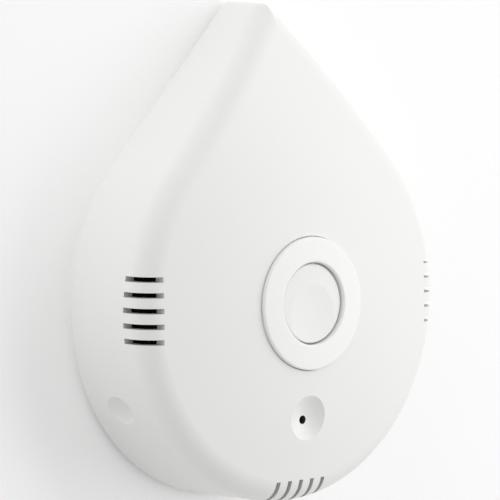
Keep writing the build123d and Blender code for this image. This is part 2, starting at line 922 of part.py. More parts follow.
def reset_switch_plunger():
    """Plunger of the reset switch, reached with a pin."""
    top = board_top + reset_switch_height
    pin = column(reset_plunger_radius, top - reset_plunger_sunk, top + reset_plunger_rise)
    pin = chamfer(pin.edges().sort_by(Axis.Z)[-1], switch_rivet_height)
    return Pos(0, dish_centre_y, 0) * pin


def status_lights():
    """Small lights on the board, one under each leg of the ring."""
    light = block(light_width, light_length, board_top, board_top + light_height)
    light = chamfer(light.faces().sort_by(Axis.Z)[-1].edges(), light_bevel)
    lights = []
    for i in range(light_count):
        angle = light_start_angle + i * 360 / light_count
        x, y = polar(light_circle, angle)
        lights.append(Pos(x, y, 0) * Rotation(0, 0, angle) * light)
    return lights[0] + lights[1:]


def radio_board():
    """Small board of the radio module, with half holes along its long edges."""
    high = board_top + radio_board_thickness
    board = block(radio_width, radio_length, board_top, high)
    rows = int((radio_length - 2 * antenna_reach) / antenna_pitch)
    hole = column(antenna_strip / 2, board_top, high)
    places = []
    for i in range(rows):
        y = antenna_pitch * (i + 1 / 2) - radio_length / 2
        places += both_sides(radio_width / 2, y)
    return Pos(0, radio_centre_y, 0) * (board - at_places(hole, places))


def radio_shield():
    """Thin metal can over the radio's circuits."""
    low = board_top + radio_board_thickness
    high = low + shield_height
    can = block(shield_width, shield_length, low, high)
    can = fillet(can.edges().filter_by(Axis.Z), shield_corner_radius)
    can = chamfer(can.faces().sort_by(Axis.Z)[-1].edges(), shield_top_bevel)
    inside = block(
        shield_width - 2 * shield_wall, shield_length - 2 * shield_wall, low, high - shield_wall
    )
    y = radio_centre_y - (radio_length - shield_length) / 2 + shield_wall
    return Pos(0, y, 0) * (can - inside)


def antenna():
    """Meandering strip at the free end of the radio module."""
    low = board_top + radio_board_thickness
    high = low + antenna_thickness
    near = radio_centre_y + radio_length / 2 - antenna_strip - antenna_reach
    parts = []
    for i in range(2 * antenna_turns):
        x = (i - antenna_turns + 1 / 2) * antenna_pitch
        leg = block(antenna_strip, antenna_reach, low, high)
        parts.append(Pos(x, near + antenna_reach / 2, 0) * leg)
        if i < 2 * antenna_turns - 1:
            end = near + (antenna_reach - antenna_strip / 2 if i % 2 else antenna_strip / 2)
            link = block(antenna_pitch, antenna_strip, low, high)
            parts.append(Pos(x + antenna_pitch / 2, end, 0) * link)
    return parts[0] + parts[1:]


def processor():
    """Main chip with a marked corner."""
    high = board_top + processor_height
    chip = block(processor_width, processor_width, board_top, high)
    chip = chamfer(chip.faces().sort_by(Axis.Z)[-1].edges(), processor_bevel)
    corner = processor_width / 2 - processor_dot_inset
    dot = Pos(-corner, corner, 0) * column(processor_dot_radius, high - processor_dot_depth, high)
    return Pos(processor_x, processor_y, 0) * (chip - dot)


def crystal():
    """Metal can of the clock crystal."""
    can = block(crystal_length, crystal_width, board_top, board_top + crystal_height)
    can = fillet(can.edges().filter_by(Axis.Z), crystal_corner_radius)
    can = chamfer(can.faces().sort_by(Axis.Z)[-1].edges(), crystal_top_bevel)
    return Pos(processor_x, crystal_y, 0) * can


def storage_capacitor():
    """Round can capacitor on its square base."""
    base_top = board_top + capacitor_base_height
    high = board_top + capacitor_height
    base = block(2 * capacitor_radius, 2 * capacitor_radius, board_top, base_top)
    base = base + column(capacitor_radius + capacitor_groove_depth, board_top, base_top)
    can = column(capacitor_radius, base_top, high)
    can = chamfer(can.edges().sort_by(Axis.Z)[-1], capacitor_groove_depth)
    neck_low = base_top + capacitor_base_height
    neck_high = neck_low + capacitor_groove_depth
    neck_radius = capacitor_radius - capacitor_groove_depth
    neck = tube(2 * capacitor_radius, neck_radius, neck_low, neck_high)
    return Pos(capacitor_x, capacitor_y, 0) * (base + (can - neck))


def siren_transformer():
    """Drum-core coil that steps the siren's voltage up."""
    high = board_top + transformer_height
    core = column(transformer_core_radius, board_top, high)
    low_disc = column(transformer_radius, board_top, board_top + transformer_flange_height)
    high_disc = column(transformer_radius, high - transformer_flange_height, high)
    winding = column(
        transformer_radius - transformer_winding_inset,
        board_top + transformer_flange_height,
        high - transformer_flange_height,
    )
    drum = core + low_disc + high_disc + winding
    return Pos(capacitor_x, transformer_y, 0) * drum


def climate_sensor():
    """Temperature and humidity sensor beside the left vents, with its port."""
    high = board_top + climate_height
    chip = block(climate_width, climate_width, board_top, high)
    port = column(climate_port_radius, high - climate_port_depth, high)
    return Pos(climate_x, 0, 0) * (chip - port)


pieces = {
    "front_cover": front_cover,
    "back_cover": back_cover,
    "rim_seal": rim_seal,
    "vent_screens": vent_screens,
    "case_screws": case_screws,
    "battery_cap": battery_cap,
    "cap_seal": cap_seal,
    "coin_cell": coin_cell,
    "cell_holder": cell_holder,
    "negative_contact": negative_contact,
    "positive_contact": positive_contact,
    "probe_contacts": probe_contacts,
    "probe_nuts": probe_nuts,
    "probe_pins": probe_pins,
    "main_board": main_board,
    "board_screws": board_screws,
    "siren_case": siren_case,
    "siren_disc": siren_disc,
    "siren_pins": siren_pins,
    "siren_transformer": siren_transformer,
    "button_ring": button_ring,
    "test_button": test_button,
    "test_switch": test_switch,
    "test_switch_plunger": test_switch_plunger,
    "reset_switch": reset_switch,
    "reset_switch_plunger": reset_switch_plunger,
    "status_lights": status_lights,
    "radio_board": radio_board,
    "radio_shield": radio_shield,
    "antenna": antenna,
    "processor": processor,
    "crystal": crystal,
    "storage_capacitor": storage_capacitor,
    "climate_sensor": climate_sensor,
}

place = Pos(0, -middle_y, foot_proud)
os.makedirs("parts", exist_ok=True)
for name, make in pieces.items():
    export_step(place * make(), f"parts/{name}.step")
for name, (x, y) in foot_places.items():
    export_step(place * Pos(x, y, 0) * foot(), f"parts/foot_{name}.step")
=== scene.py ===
import json
import logging
import math
from dataclasses import dataclass
from enum import Enum
from functools import reduce

import bmesh
import bpy
from mathutils import Matrix, Vector
from mathutils.bvhtree import BVHTree


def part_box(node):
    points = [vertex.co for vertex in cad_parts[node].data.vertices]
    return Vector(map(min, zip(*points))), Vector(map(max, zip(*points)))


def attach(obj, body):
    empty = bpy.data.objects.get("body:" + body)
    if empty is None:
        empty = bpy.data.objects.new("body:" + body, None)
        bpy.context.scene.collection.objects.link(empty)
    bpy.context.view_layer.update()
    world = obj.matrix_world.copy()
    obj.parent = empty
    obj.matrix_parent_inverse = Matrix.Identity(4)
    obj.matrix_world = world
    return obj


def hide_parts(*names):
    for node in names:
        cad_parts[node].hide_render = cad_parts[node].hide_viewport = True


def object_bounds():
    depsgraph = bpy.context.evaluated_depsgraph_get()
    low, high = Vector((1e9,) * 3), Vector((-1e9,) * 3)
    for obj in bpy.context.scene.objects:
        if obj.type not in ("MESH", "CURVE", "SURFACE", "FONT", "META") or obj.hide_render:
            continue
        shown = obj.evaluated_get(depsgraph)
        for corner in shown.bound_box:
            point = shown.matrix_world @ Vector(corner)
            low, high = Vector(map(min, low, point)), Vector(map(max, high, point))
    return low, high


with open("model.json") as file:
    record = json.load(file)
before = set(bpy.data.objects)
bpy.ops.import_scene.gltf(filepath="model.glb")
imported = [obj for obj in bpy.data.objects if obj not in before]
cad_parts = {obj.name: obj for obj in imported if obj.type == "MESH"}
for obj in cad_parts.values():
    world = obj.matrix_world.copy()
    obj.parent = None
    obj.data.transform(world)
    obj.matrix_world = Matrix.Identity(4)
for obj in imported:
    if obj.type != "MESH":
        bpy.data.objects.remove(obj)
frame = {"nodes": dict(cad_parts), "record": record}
CAD_LOW, CAD_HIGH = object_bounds()

MM = 0.001
IMAGE_SIZE = 500
WELD_GAP = 0.001 * MM
SORT_DIGITS = 5
SHARP_ANGLE = math.radians(35)
OWN_PLACE = "own_place"
WHITE = (1.0, 1.0, 1.0)
PALE_GREY = (0.8, 0.8, 0.8)
MIDDLE_GREY = (0.5, 0.5, 0.5)

log = logging.getLogger("leak_sensor")

Colour = tuple[float, float, float]
Pair = tuple[float, float]
Value = bpy.types.NodeSocket | float | tuple


class Pattern(Enum):
    """What varies over the surface of a finish."""

    MOULDED = "moulded_grain"
    TURNED = "lathe_rings"
    ROLLED = "rolling_lines"
    BOARD = "board_traces"
    WOUND = "wire_turns"


class Socket(Enum):
    """Kinds of socket that the shared effects and the recipes have."""

    NUMBER = "NodeSocketFloat"
    COUNT = "NodeSocketInt"
    COLOUR = "NodeSocketColor"
    GEOMETRY = "NodeSocketGeometry"
    OBJECT = "NodeSocketObject"
    MATERIAL = "NodeSocketMaterial"


def rgba(colour: Colour) -> tuple[float, float, float, float]:
    """Gives a colour its full opacity."""
    return (*colour, 1.0)


def dress(obj: bpy.types.Object, material: bpy.types.Material) -> None:
    """Gives an object one material on all its faces."""
    obj.data.materials.clear()
    obj.data.materials.append(material)


def link_new(name: str, data: bpy.types.ID) -> bpy.types.Object:
    """Puts a new object into the scene.

    Args:
        name: The object's name.
        data: Its mesh, lamp or camera.

    Returns:
        The object.
    """
    made = bpy.data.objects.new(name, data)
    bpy.context.scene.collection.objects.link(made)
    return made


def chain(name: str, lines: list[list[Vector | tuple]]) -> bpy.types.Mesh:
    """Makes a mesh of open lines.

    Args:
        name: The mesh's name.
        lines: The points of each line.

    Returns:
        The mesh, with edges only.
    """
    points, edges = [], []
    for line in lines:
        start = len(points)
        points.extend(line)
        edges.extend((start + i, start + i + 1) for i in range(len(line) - 1))
    mesh = bpy.data.meshes.new(name)
    mesh.from_pydata(points, edges, [])
    return mesh


def arc(centre: Vector, radius: float, start: float, sweep: float, steps: int) -> list[Vector]:
    """Lays points along a level arc.

    Args:
        centre: The arc's centre.
        radius: Its radius.
        start: The angle of its first point.
        sweep: The angle from its first point to its last.
        steps: Number of steps between them.

    Returns:
        The points.
    """
    turns = [start + sweep * step / steps for step in range(steps + 1)]
    return [centre + Vector((radius * math.cos(turn), radius * math.sin(turn), 0.0)) for turn in turns]


class Graph:
    """Adds nodes to one node tree and joins them."""

    def __init__(self, tree: bpy.types.NodeTree) -> None:
        """Keeps the tree that the nodes go into."""
        self.tree = tree

    def feed(self, socket: bpy.types.NodeSocket, value: Value) -> None:
        """Links a socket to another one, or sets its own value.

        Args:
            socket: The input to fill.
            value: A socket to link from, or a plain number, colour or vector.
        """
        if isinstance(value, bpy.types.NodeSocket):
            self.tree.links.new(value, socket)
        else:
            socket.default_value = value

    def node(self, kind: str, inputs: dict | None = None, **settings: object) -> bpy.types.Node:
        """Adds a node.

        Args:
            kind: The node's type.
            inputs: Values by the input's name or number.
            **settings: Properties of the node itself.

        Returns:
            The new node.
        """
        made = self.tree.nodes.new(kind)
        for name, value in settings.items():
            setattr(made, name, value)
        for name, value in (inputs or {}).items():
            self.feed(made.inputs[name], value)
        return made

    def out(self, kind: str, inputs: dict | None = None, **settings: object) -> bpy.types.NodeSocket:
        """Adds a node and gives its first output."""
        return self.node(kind, inputs, **settings).outputs[0]

    def math(self, operation: str, *values: Value) -> bpy.types.NodeSocket:
        """Joins numbers with one math operation."""
        return self.out("ShaderNodeMath", dict(enumerate(values)), operation=operation)

    def product(self, *values: Value) -> bpy.types.NodeSocket:
        """Multiplies two or more numbers."""
        return reduce(lambda first, second: self.math("MULTIPLY", first, second), values)

    def length(self, x: Value, y: Value) -> bpy.types.NodeSocket:
        """Measures a flat vector."""
        return self.math("SQRT", self.math("ADD", self.math("POWER", x, 2.0), self.math("POWER", y, 2.0)))

    def split(self, vector: Value) -> bpy.types.NodeOutputs:
        """Takes a vector apart."""
        return self.node("ShaderNodeSeparateXYZ", {0: vector}).outputs

    def join(self, x: Value = 0.0, y: Value = 0.0, z: Value = 0.0) -> bpy.types.NodeSocket:
        """Makes a vector of three numbers."""
        return self.out("ShaderNodeCombineXYZ", {0: x, 1: y, 2: z})

    def mix(self, factor: Value, low: Value, high: Value) -> bpy.types.NodeSocket:
        """Mixes two colours.

        Args:
            factor: Share of the second colour.
            low: First colour.
            high: Second colour.

        Returns:
            The mixed colour's socket.
        """
        made = self.node("ShaderNodeMix", data_type="RGBA")
        for number, value in zip((0, 6, 7), (factor, low, high)):
            self.feed(made.inputs[number], value)
        return made.outputs[2]

    def span(self, value: Value, old: Pair, new: Pair = (0.0, 1.0)) -> bpy.types.NodeSocket:
        """Maps one range of numbers onto another, with limits."""
        return self.out("ShaderNodeMapRange", dict(enumerate((value, *old, *new))))

    def noise(self, place: Value, scale: Value, detail: float = 3.0) -> bpy.types.NodeSocket:
        """Adds a noise texture; detail is its number of finer layers."""
        return self.out("ShaderNodeTexNoise", {"Vector": place, "Scale": scale, "Detail": detail})


class Effect:
    """A shader node group with named inputs and outputs, built once for all materials."""

    def __init__(self, name: str, inputs: dict[str, Value], outputs: dict[str, Socket]) -> None:
        """Starts the group.

        Args:
            name: The group's name.
            inputs: Default value by input name; a number, or a colour of four numbers.
            outputs: Kind of each output by name.
        """
        self.tree = bpy.data.node_groups.new(name, "ShaderNodeTree")
        for socket, value in inputs.items():
            kind = Socket.COLOUR if isinstance(value, tuple) else Socket.NUMBER
            made = self.tree.interface.new_socket(socket, in_out="INPUT", socket_type=kind.value)
            made.default_value = value
        for socket, kind in outputs.items():
            self.tree.interface.new_socket(socket, in_out="OUTPUT", socket_type=kind.value)
        self.graph = Graph(self.tree)
        self.ends = {s.name: s for s in self.graph.node("NodeGroupInput").outputs if s.name}
        self.results = self.graph.node("NodeGroupOutput").inputs
        self.place = self.graph.node("ShaderNodeTexCoord").outputs["Object"]


class Surface(Effect):
    """The look of one pattern; all patterns have the same inputs and outputs."""

    broad_times: float = 40.0
    broad_detail: float = 2.0
    ring_detail: float = 2.0
    drawn_share: float = 0.04
    trace_bands: float = 5.0
    trace_edge: Pair = (0.55, 0.60)
    gloss_swing: dict[Pattern, float] = {
        Pattern.MOULDED: 0.12,
        Pattern.TURNED: 0.2,
        Pattern.ROLLED: 0.25,
        Pattern.BOARD: 0.1,
        Pattern.WOUND: 0.1,
    }

    def __init__(self, pattern: Pattern) -> None:
        """Starts the group of a pattern and fills it.

        Args:
            pattern: The pattern.
        """
        inputs = {
            "Colour": rgba(PALE_GREY),
            "Second Colour": rgba(MIDDLE_GREY),
            "Grain Size": 0.4 * MM,
            "Mottle": 0.02,
            "Roughness": 0.5,
        }
        outputs = {"Colour": Socket.COLOUR, "Roughness": Socket.NUMBER, "Height": Socket.NUMBER}
        super().__init__(pattern.value, inputs, outputs)
        self.scale = self.graph.math("DIVIDE", 1.0, self.ends["Grain Size"])
        fill = {
            Pattern.MOULDED: self.moulded,
            Pattern.TURNED: self.turned,
            Pattern.ROLLED: self.rolled,
            Pattern.BOARD: self.board,
            Pattern.WOUND: self.wound,
        }[pattern]
        colour, height = fill()
        self.close(colour, height, self.gloss_swing[pattern])

    def close(self, colour: Value, height: Value, swing: float) -> None:
        """Joins the pattern to the group's outputs.

        Args:
            colour: The colour before its mottle.
            height: The relief, from 0 to 1.
            swing: How far the roughness follows the relief.
        """
        graph, ends = self.graph, self.ends
        broad_scale = graph.math("DIVIDE", self.scale, self.broad_times)
        broad = graph.noise(self.place, broad_scale, self.broad_detail)
        tone = graph.product(graph.math("SUBTRACT", broad, 0.5), ends["Mottle"])
        toned = {0: colour, "Scale": graph.math("ADD", tone, 1.0)}
        rough = graph.product(graph.math("SUBTRACT", height, 0.5), swing)
        graph.feed(self.results["Colour"], graph.out("ShaderNodeVectorMath", toned, operation="SCALE"))
        graph.feed(self.results["Roughness"], graph.math("ADD", ends["Roughness"], rough))
        graph.feed(self.results["Height"], height)

    def two_tone(self, mask: Value) -> tuple[Value, Value]:
        """Mixes both colours by a mask, which is the relief as well."""
        return self.graph.mix(mask, self.ends["Colour"], self.ends["Second Colour"]), mask

    def moulded(self) -> tuple[Value, Value]:
        """Makes the fine spark-eroded grain of a moulding."""
        return self.ends["Colour"], self.graph.noise(self.place, self.scale)

    def turned(self) -> tuple[Value, Value]:
        """Makes the rings that a lathe leaves about the piece's own axis.

        Returns:
            The colour and the relief.
        """
        graph = self.graph
        own = graph.node("ShaderNodeAttribute", attribute_name=OWN_PLACE).outputs["Vector"]
        x, y, z = graph.split(own)
        along = graph.join(graph.math("ADD", graph.length(x, y), z))
        return self.two_tone(graph.noise(along, self.scale, self.ring_detail))

    def rolled(self) -> tuple[Value, Value]:
        """Makes fine lines along a rolled or brushed sheet.

        Returns:
            The colour and the relief.
        """
        drawn = {"Vector": self.place, "Scale": (self.drawn_share, 1.0, 1.0)}
        return self.two_tone(self.graph.noise(self.graph.out("ShaderNodeMapping", drawn), self.scale))

    def board(self) -> tuple[Value, Value]:
        """Makes traces under a solder mask.

        Returns:
            The colour and the relief.
        """
        graph = self.graph
        cells = {"Vector": self.place, "Scale": self.scale}
        distance = graph.node("ShaderNodeTexVoronoi", cells, distance="CHEBYCHEV").outputs["Distance"]
        bands = graph.math("FRACT", graph.product(distance, self.trace_bands))
        return self.two_tone(graph.span(bands, self.trace_edge))

    def wound(self) -> tuple[Value, Value]:
        """Makes turns of wire, one above the other.

        Returns:
            The colour and the relief.
        """
        graph = self.graph
        wave = graph.math("SINE", graph.product(graph.split(self.place)[2], self.scale, math.tau))
        turns = graph.span(wave, (-1.0, 1.0))
        return graph.mix(turns, self.ends["Second Colour"], self.ends["Colour"]), turns


class HollowDarkening(Effect):
    """Darkens the colour in hollow corners, where the surface's pointiness is low."""

    corner_edge: Pair = (0.42, 0.5)
    hollow_colour: Colour = (0.35, 0.33, 0.30)

    def __init__(self) -> None:
        """Builds the group."""
        inputs = {"Colour": rgba(PALE_GREY), "Soil Colour": rgba(self.hollow_colour), "Soil": 0.1}
        super().__init__("hollow_darkening", inputs, {"Colour": Socket.COLOUR})
        graph, ends = self.graph, self.ends
        surface = graph.node("ShaderNodeNewGeometry").outputs
        corner = graph.span(surface["Pointiness"], self.corner_edge, (1.0, 0.0))
        darkened_colour = graph.mix(graph.product(corner, ends["Soil"]), ends["Colour"], ends["Soil Colour"])
        graph.feed(self.results["Colour"], darkened_colour)


class DeepShade(Effect):
    """Painted shade: darker walls in the vent slots and in the pin hole, where shade falls inside them.

    The group works in the sensor's own coordinates.
    """

    colours: tuple[str, ...] = ("Side Colour", "Front Colour", "Hole Colour")
    sizes: tuple[str, ...] = ("Slot Pitch", "Slot Width", "Side Offset", "Side Low", "Front Low",
                              "Row Start", "Row Half", "Hole Drop", "Hole Radius")
    slot_share: float = 0.51
    hole_share: float = 1.01

    def __init__(self) -> None:
        """Builds the group."""
        inputs = {name: rgba(MIDDLE_GREY) for name in ("Colour", *self.colours)}
        inputs |= {name: 0.0 for name in ("Centre X", "Centre Y", *self.sizes)}
        super().__init__("deep_shade", inputs, {"Colour": Socket.COLOUR})
        graph, ends = self.graph, self.ends
        across, forward, self.height = graph.split(self.place)
        x = graph.math("SUBTRACT", across, ends["Centre X"])
        y = graph.math("SUBTRACT", forward, ends["Centre Y"])
        along = graph.math("SUBTRACT", y, ends["Side Offset"])
        sides = self.row(along, graph.math("ABSOLUTE", x), "Side Low")
        front = self.row(x, graph.product(y, -1.0), "Front Low")
        reach = graph.length(x, graph.math("ADD", y, ends["Hole Drop"]))
        hole = graph.math("LESS_THAN", reach, graph.product(ends["Hole Radius"], self.hole_share))
        colour = ends["Colour"]
        # Painted shade: each mask darkens the colour of the slot walls or of the pin hole.
        for mask, name in ((sides, "Side Colour"), (front, "Front Colour"), (hole, "Hole Colour")):
            colour = graph.mix(mask, colour, ends[name])
        graph.feed(self.results["Colour"], colour)

    def row(self, along: Value, outwards: Value, low: str) -> Value:
        """Marks the slots of one row.

        Args:
            along: Distance along the row, from its middle.
            outwards: Distance from the centre of the round end.
            low: Name of the input that gives the height of the slots' lower ends.

        Returns:
            One in a slot and zero elsewhere.
        """
        graph, ends = self.graph, self.ends
        step = graph.math("ADD", graph.math("DIVIDE", along, ends["Slot Pitch"]), 0.5)
        off = graph.math("ABSOLUTE", graph.math("SUBTRACT", graph.math("FRACT", step), 0.5))
        wide = graph.math("DIVIDE", graph.product(ends["Slot Width"], self.slot_share), ends["Slot Pitch"])
        return graph.product(
            graph.math("LESS_THAN", off, wide),
            graph.math("LESS_THAN", graph.math("ABSOLUTE", along), ends["Row Half"]),
            graph.math("GREATER_THAN", self.height, ends[low]),
            graph.math("GREATER_THAN", outwards, ends["Row Start"]),
        )


SURFACES = {pattern: Surface(pattern).tree for pattern in Pattern}
HOLLOW_DARKENING = HollowDarkening().tree
DEEP_SHADE = DeepShade().tree


@dataclass(frozen=True)
class Finish:
    """A procedural finish: its colours, gloss and relief."""

    name: str
    colour: Colour
    roughness: float = 0.5
    pattern: Pattern = Pattern.MOULDED
    second_colour: Colour = MIDDLE_GREY
    metallic: float = 0.0
    grain_size: float = 0.4 * MM
    relief: float = 0.008 * MM
    mottle: float = 0.02
    # Share by which the colour darkens in hollow corners.
    darkening_share: float = 0.1
    specular: float = 0.5
    subsurface: float = 0.0
    subsurface_spread: Colour = (1.0, 0.9, 0.8)
    subsurface_depth: float = 1.0 * MM

    def build(self) -> bpy.types.Material:
        """Makes the material.

        Returns:
            The new material.
        """
        material = bpy.data.materials.new(self.name)
        material.use_nodes = True
        material.node_tree.nodes.clear()
        graph = Graph(material.node_tree)
        plain = {
            "Metallic": self.metallic,
            "Specular IOR Level": self.specular,
            "Subsurface Weight": self.subsurface,
            "Subsurface Radius": self.subsurface_spread,
            "Subsurface Scale": self.subsurface_depth,
        }
        look = {
            "Colour": rgba(self.colour),
            "Second Colour": rgba(self.second_colour),
            "Grain Size": self.grain_size,
            "Mottle": self.mottle,
            "Roughness": self.roughness,
        }
        surface = graph.node("ShaderNodeGroup", look, node_tree=SURFACES[self.pattern]).outputs
        darkening_inputs = {"Colour": surface["Colour"], "Soil": self.darkening_share}
        colour = graph.out("ShaderNodeGroup", darkening_inputs, node_tree=HOLLOW_DARKENING)
        bump = {"Height": surface["Height"], "Strength": 1.0, "Distance": self.relief}
        shader = graph.node("ShaderNodeBsdfPrincipled", plain)
        graph.feed(shader.inputs["Base Color"], self.shade(graph, colour))
        graph.feed(shader.inputs["Roughness"], surface["Roughness"])
        graph.feed(shader.inputs["Normal"], graph.out("ShaderNodeBump", bump))
        graph.node("ShaderNodeOutputMaterial", {"Surface": shader.outputs[0]})
        return material

    def shade(self, graph: Graph, colour: Value) -> Value:
        """Leaves the colour as it is; a finish with openings shades them here."""
        return colour


@dataclass(frozen=True)
class VentedFinish(Finish):
    """The front cover's finish, with painted shade on the walls of its slots and of its pin hole."""

    centre: Pair = (0.0, 0.0)
    slot_pitch: float = 2.8 * MM
    slot_width: float = 0.95 * MM
    side_offset: float = 0.3 * MM
    side_low: float = 14.99 * MM
    front_low: float = 16.39 * MM
    row_start: float = 33.0 * MM
    row_half: float = 7.0 * MM
    hole_drop: float = 21.8 * MM
    hole_radius: float = 0.8 * MM
    # Painted shade: darker colours for the walls of the side slots, the front slots and the pin hole.
    side_colour: Colour = (0.66, 0.66, 0.64)
    front_colour: Colour = (0.60, 0.60, 0.58)
    hole_colour: Colour = (0.06, 0.06, 0.058)

    def shade(self, graph: Graph, colour: Value) -> Value:
        """Paints shade into the openings.

        Args:
            graph: The material's graph.
            colour: The colour of the open surface.

        Returns:
            The colour with its shaded walls.
        """
        values = {"Colour": colour, "Centre X": self.centre[0], "Centre Y": self.centre[1]}
        for name in DeepShade.sizes + DeepShade.colours:
            value = getattr(self, name.lower().replace(" ", "_"))
            values[name] = rgba(value) if name in DeepShade.colours else value
        return graph.out("ShaderNodeGroup", values, node_tree=DEEP_SHADE)


def metal(name: str, colour: Colour, roughness: float, pattern: Pattern = Pattern.ROLLED) -> Finish:
    """Describes a metal whose lines are a little darker than its face.

    Args:
        name: The material's name.
        colour: The metal's colour.
        roughness: Its roughness.
        pattern: What varies over it.

    Returns:
        The finish.
    """
    line_share, grain_size, relief = 0.8, 0.15 * MM, 0.002 * MM
    darker = tuple(line_share * part for part in colour)
    return Finish(name, colour, roughness, pattern, darker,
                  metallic=1.0, grain_size=grain_size, relief=relief)


FINISHES = {
    "housing": Finish("satin_white", (0.86, 0.86, 0.84), 0.48),
    "cap": Finish("satin_white_cap", (0.86, 0.86, 0.84), 0.48),
    "button": Finish("satin_white_button", (0.86, 0.86, 0.84), 0.42),
    "light_ring": Finish("milky_ring", (0.90, 0.90, 0.89), 0.35, subsurface=0.2),
    "feet": Finish("grey_rubber", (0.10, 0.10, 0.105), 0.8, grain_size=0.25 * MM),
    "seals": Finish("black_rubber", (0.02, 0.02, 0.022), 0.7),
    "mesh": Finish("black_mesh", (0.004, 0.004, 0.004), 0.85, specular=0.15),
    "steel": metal("bright_steel", (0.62, 0.61, 0.59), 0.3, Pattern.TURNED),
    "spring_steel": metal("nickel_spring", (0.66, 0.63, 0.56), 0.28),
    "cell": metal("cell_can", (0.62, 0.62, 0.61), 0.25),
    "gold_plate": metal("gold_plating", (0.80, 0.60, 0.28), 0.25, Pattern.TURNED),
    "board": Finish("solder_mask", (0.01, 0.07, 0.03), 0.3, Pattern.BOARD, (0.02, 0.13, 0.06),
                    grain_size=6 * MM),
    "dark_plastic": Finish("moulded_black", (0.012, 0.012, 0.013), 0.5),
    "siren_brass": metal("rolled_brass", (0.72, 0.55, 0.25), 0.3),
    "switch_body": Finish("switch_black", (0.015, 0.015, 0.016), 0.45),
    "switch_plunger": Finish("plunger_grey", (0.05, 0.05, 0.055), 0.5),
    "can_metal": metal("drawn_can", (0.70, 0.70, 0.70), 0.3),
    "copper_winding": Finish("enamelled_copper", (0.50, 0.18, 0.07), 0.3, Pattern.WOUND, (0.25, 0.08, 0.03),
                             metallic=1.0, grain_size=0.2 * MM, relief=0.05 * MM),
    "status_light": Finish("clear_resin", (0.80, 0.74, 0.45), 0.2),
}


class Recipe:
    """A Geometry Nodes tree with named inputs, which grows a piece from a seed mesh."""

    def __init__(self, name: str, inputs: dict[str, Socket]) -> None:
        """Starts the tree.

        Args:
            name: The tree's name.
            inputs: Kind of each input by name.
        """
        self.tree = bpy.data.node_groups.new(name, "GeometryNodeTree")
        for socket, kind in {"Seed": Socket.GEOMETRY, **inputs, "Material": Socket.MATERIAL}.items():
            self.tree.interface.new_socket(socket, in_out="INPUT", socket_type=kind.value)
        self.tree.interface.new_socket("Geometry", in_out="OUTPUT", socket_type=Socket.GEOMETRY.value)
        self.graph = Graph(self.tree)
        self.ends = {s.name: s for s in self.graph.node("NodeGroupInput").outputs if s.name}

    def seed_line(self) -> bpy.types.NodeSocket:
        """Takes the seed's edges as curves."""
        return self.graph.out("GeometryNodeMeshToCurve", {0: self.ends["Seed"]})

    def rounded(self, curve: bpy.types.NodeSocket, steps: int) -> bpy.types.NodeSocket:
        """Rounds a curve's corners by the input Edge Radius, in some steps each."""
        inputs = {"Curve": curve, "Count": steps, "Radius": self.ends["Edge Radius"], "Limit Radius": True}
        return self.graph.out("GeometryNodeFilletCurve", inputs, mode="POLY")

    def wire(self, line: bpy.types.NodeSocket) -> bpy.types.NodeSocket:
        """Lays closed round wire along a curve.

        Args:
            line: The curve.

        Returns:
            The wire, with the inputs Wire Radius and Sides as its section.
        """
        section = {"Resolution": self.ends["Sides"], "Radius": self.ends["Wire Radius"]}
        ring = self.graph.out("GeometryNodeCurvePrimitiveCircle", section)
        inputs = {"Curve": line, "Profile Curve": ring, "Fill Caps": True}
        return self.graph.out("GeometryNodeCurveToMesh", inputs)

    def close(self, geometry: bpy.types.NodeSocket) -> None:
        """Ends the tree with real meshes and one material.

        Args:
            geometry: What the tree has made.
        """
        real = self.graph.out("GeometryNodeRealizeInstances", {"Geometry": geometry})
        dressed = {"Geometry": real, "Material": self.ends["Material"]}
        last = self.graph.out("GeometryNodeSetMaterial", dressed)
        self.graph.node("NodeGroupOutput", {0: last})

    def grow(self, name: str, seed: bpy.types.Mesh, values: dict[str, object]) -> bpy.types.Object:
        """Makes one piece.

        Args:
            name: The piece's name.
            seed: The mesh that the tree starts from.
            values: The inputs' values by name.

        Returns:
            The piece, a plain mesh with its normals outwards.
        """
        carrier = link_new(name + "_seed", seed)
        modifier = carrier.modifiers.new(self.tree.name, "NODES")
        modifier.node_group = self.tree
        for socket in self.tree.interface.items_tree:
            if socket.in_out == "INPUT" and socket.name in values:
                modifier[socket.identifier] = values[socket.name]
        evaluated = carrier.evaluated_get(bpy.context.evaluated_depsgraph_get())
        grown = bpy.data.meshes.new_from_object(evaluated)
        carrier.modifiers.clear()
        bpy.data.objects.remove(carrier)
        made = bmesh.new()
        made.from_mesh(grown)
        bmesh.ops.remove_doubles(made, verts=made.verts, dist=WELD_GAP)
        bmesh.ops.dissolve_degenerate(made, edges=made.edges, dist=WELD_GAP / 2)
        bmesh.ops.recalc_face_normals(made, faces=made.faces)
        made.to_mesh(grown)
        made.free()
        grown.shade_smooth()
        grown.set_sharp_from_angle(angle=SHARP_ANGLE)
        return link_new(name, grown)


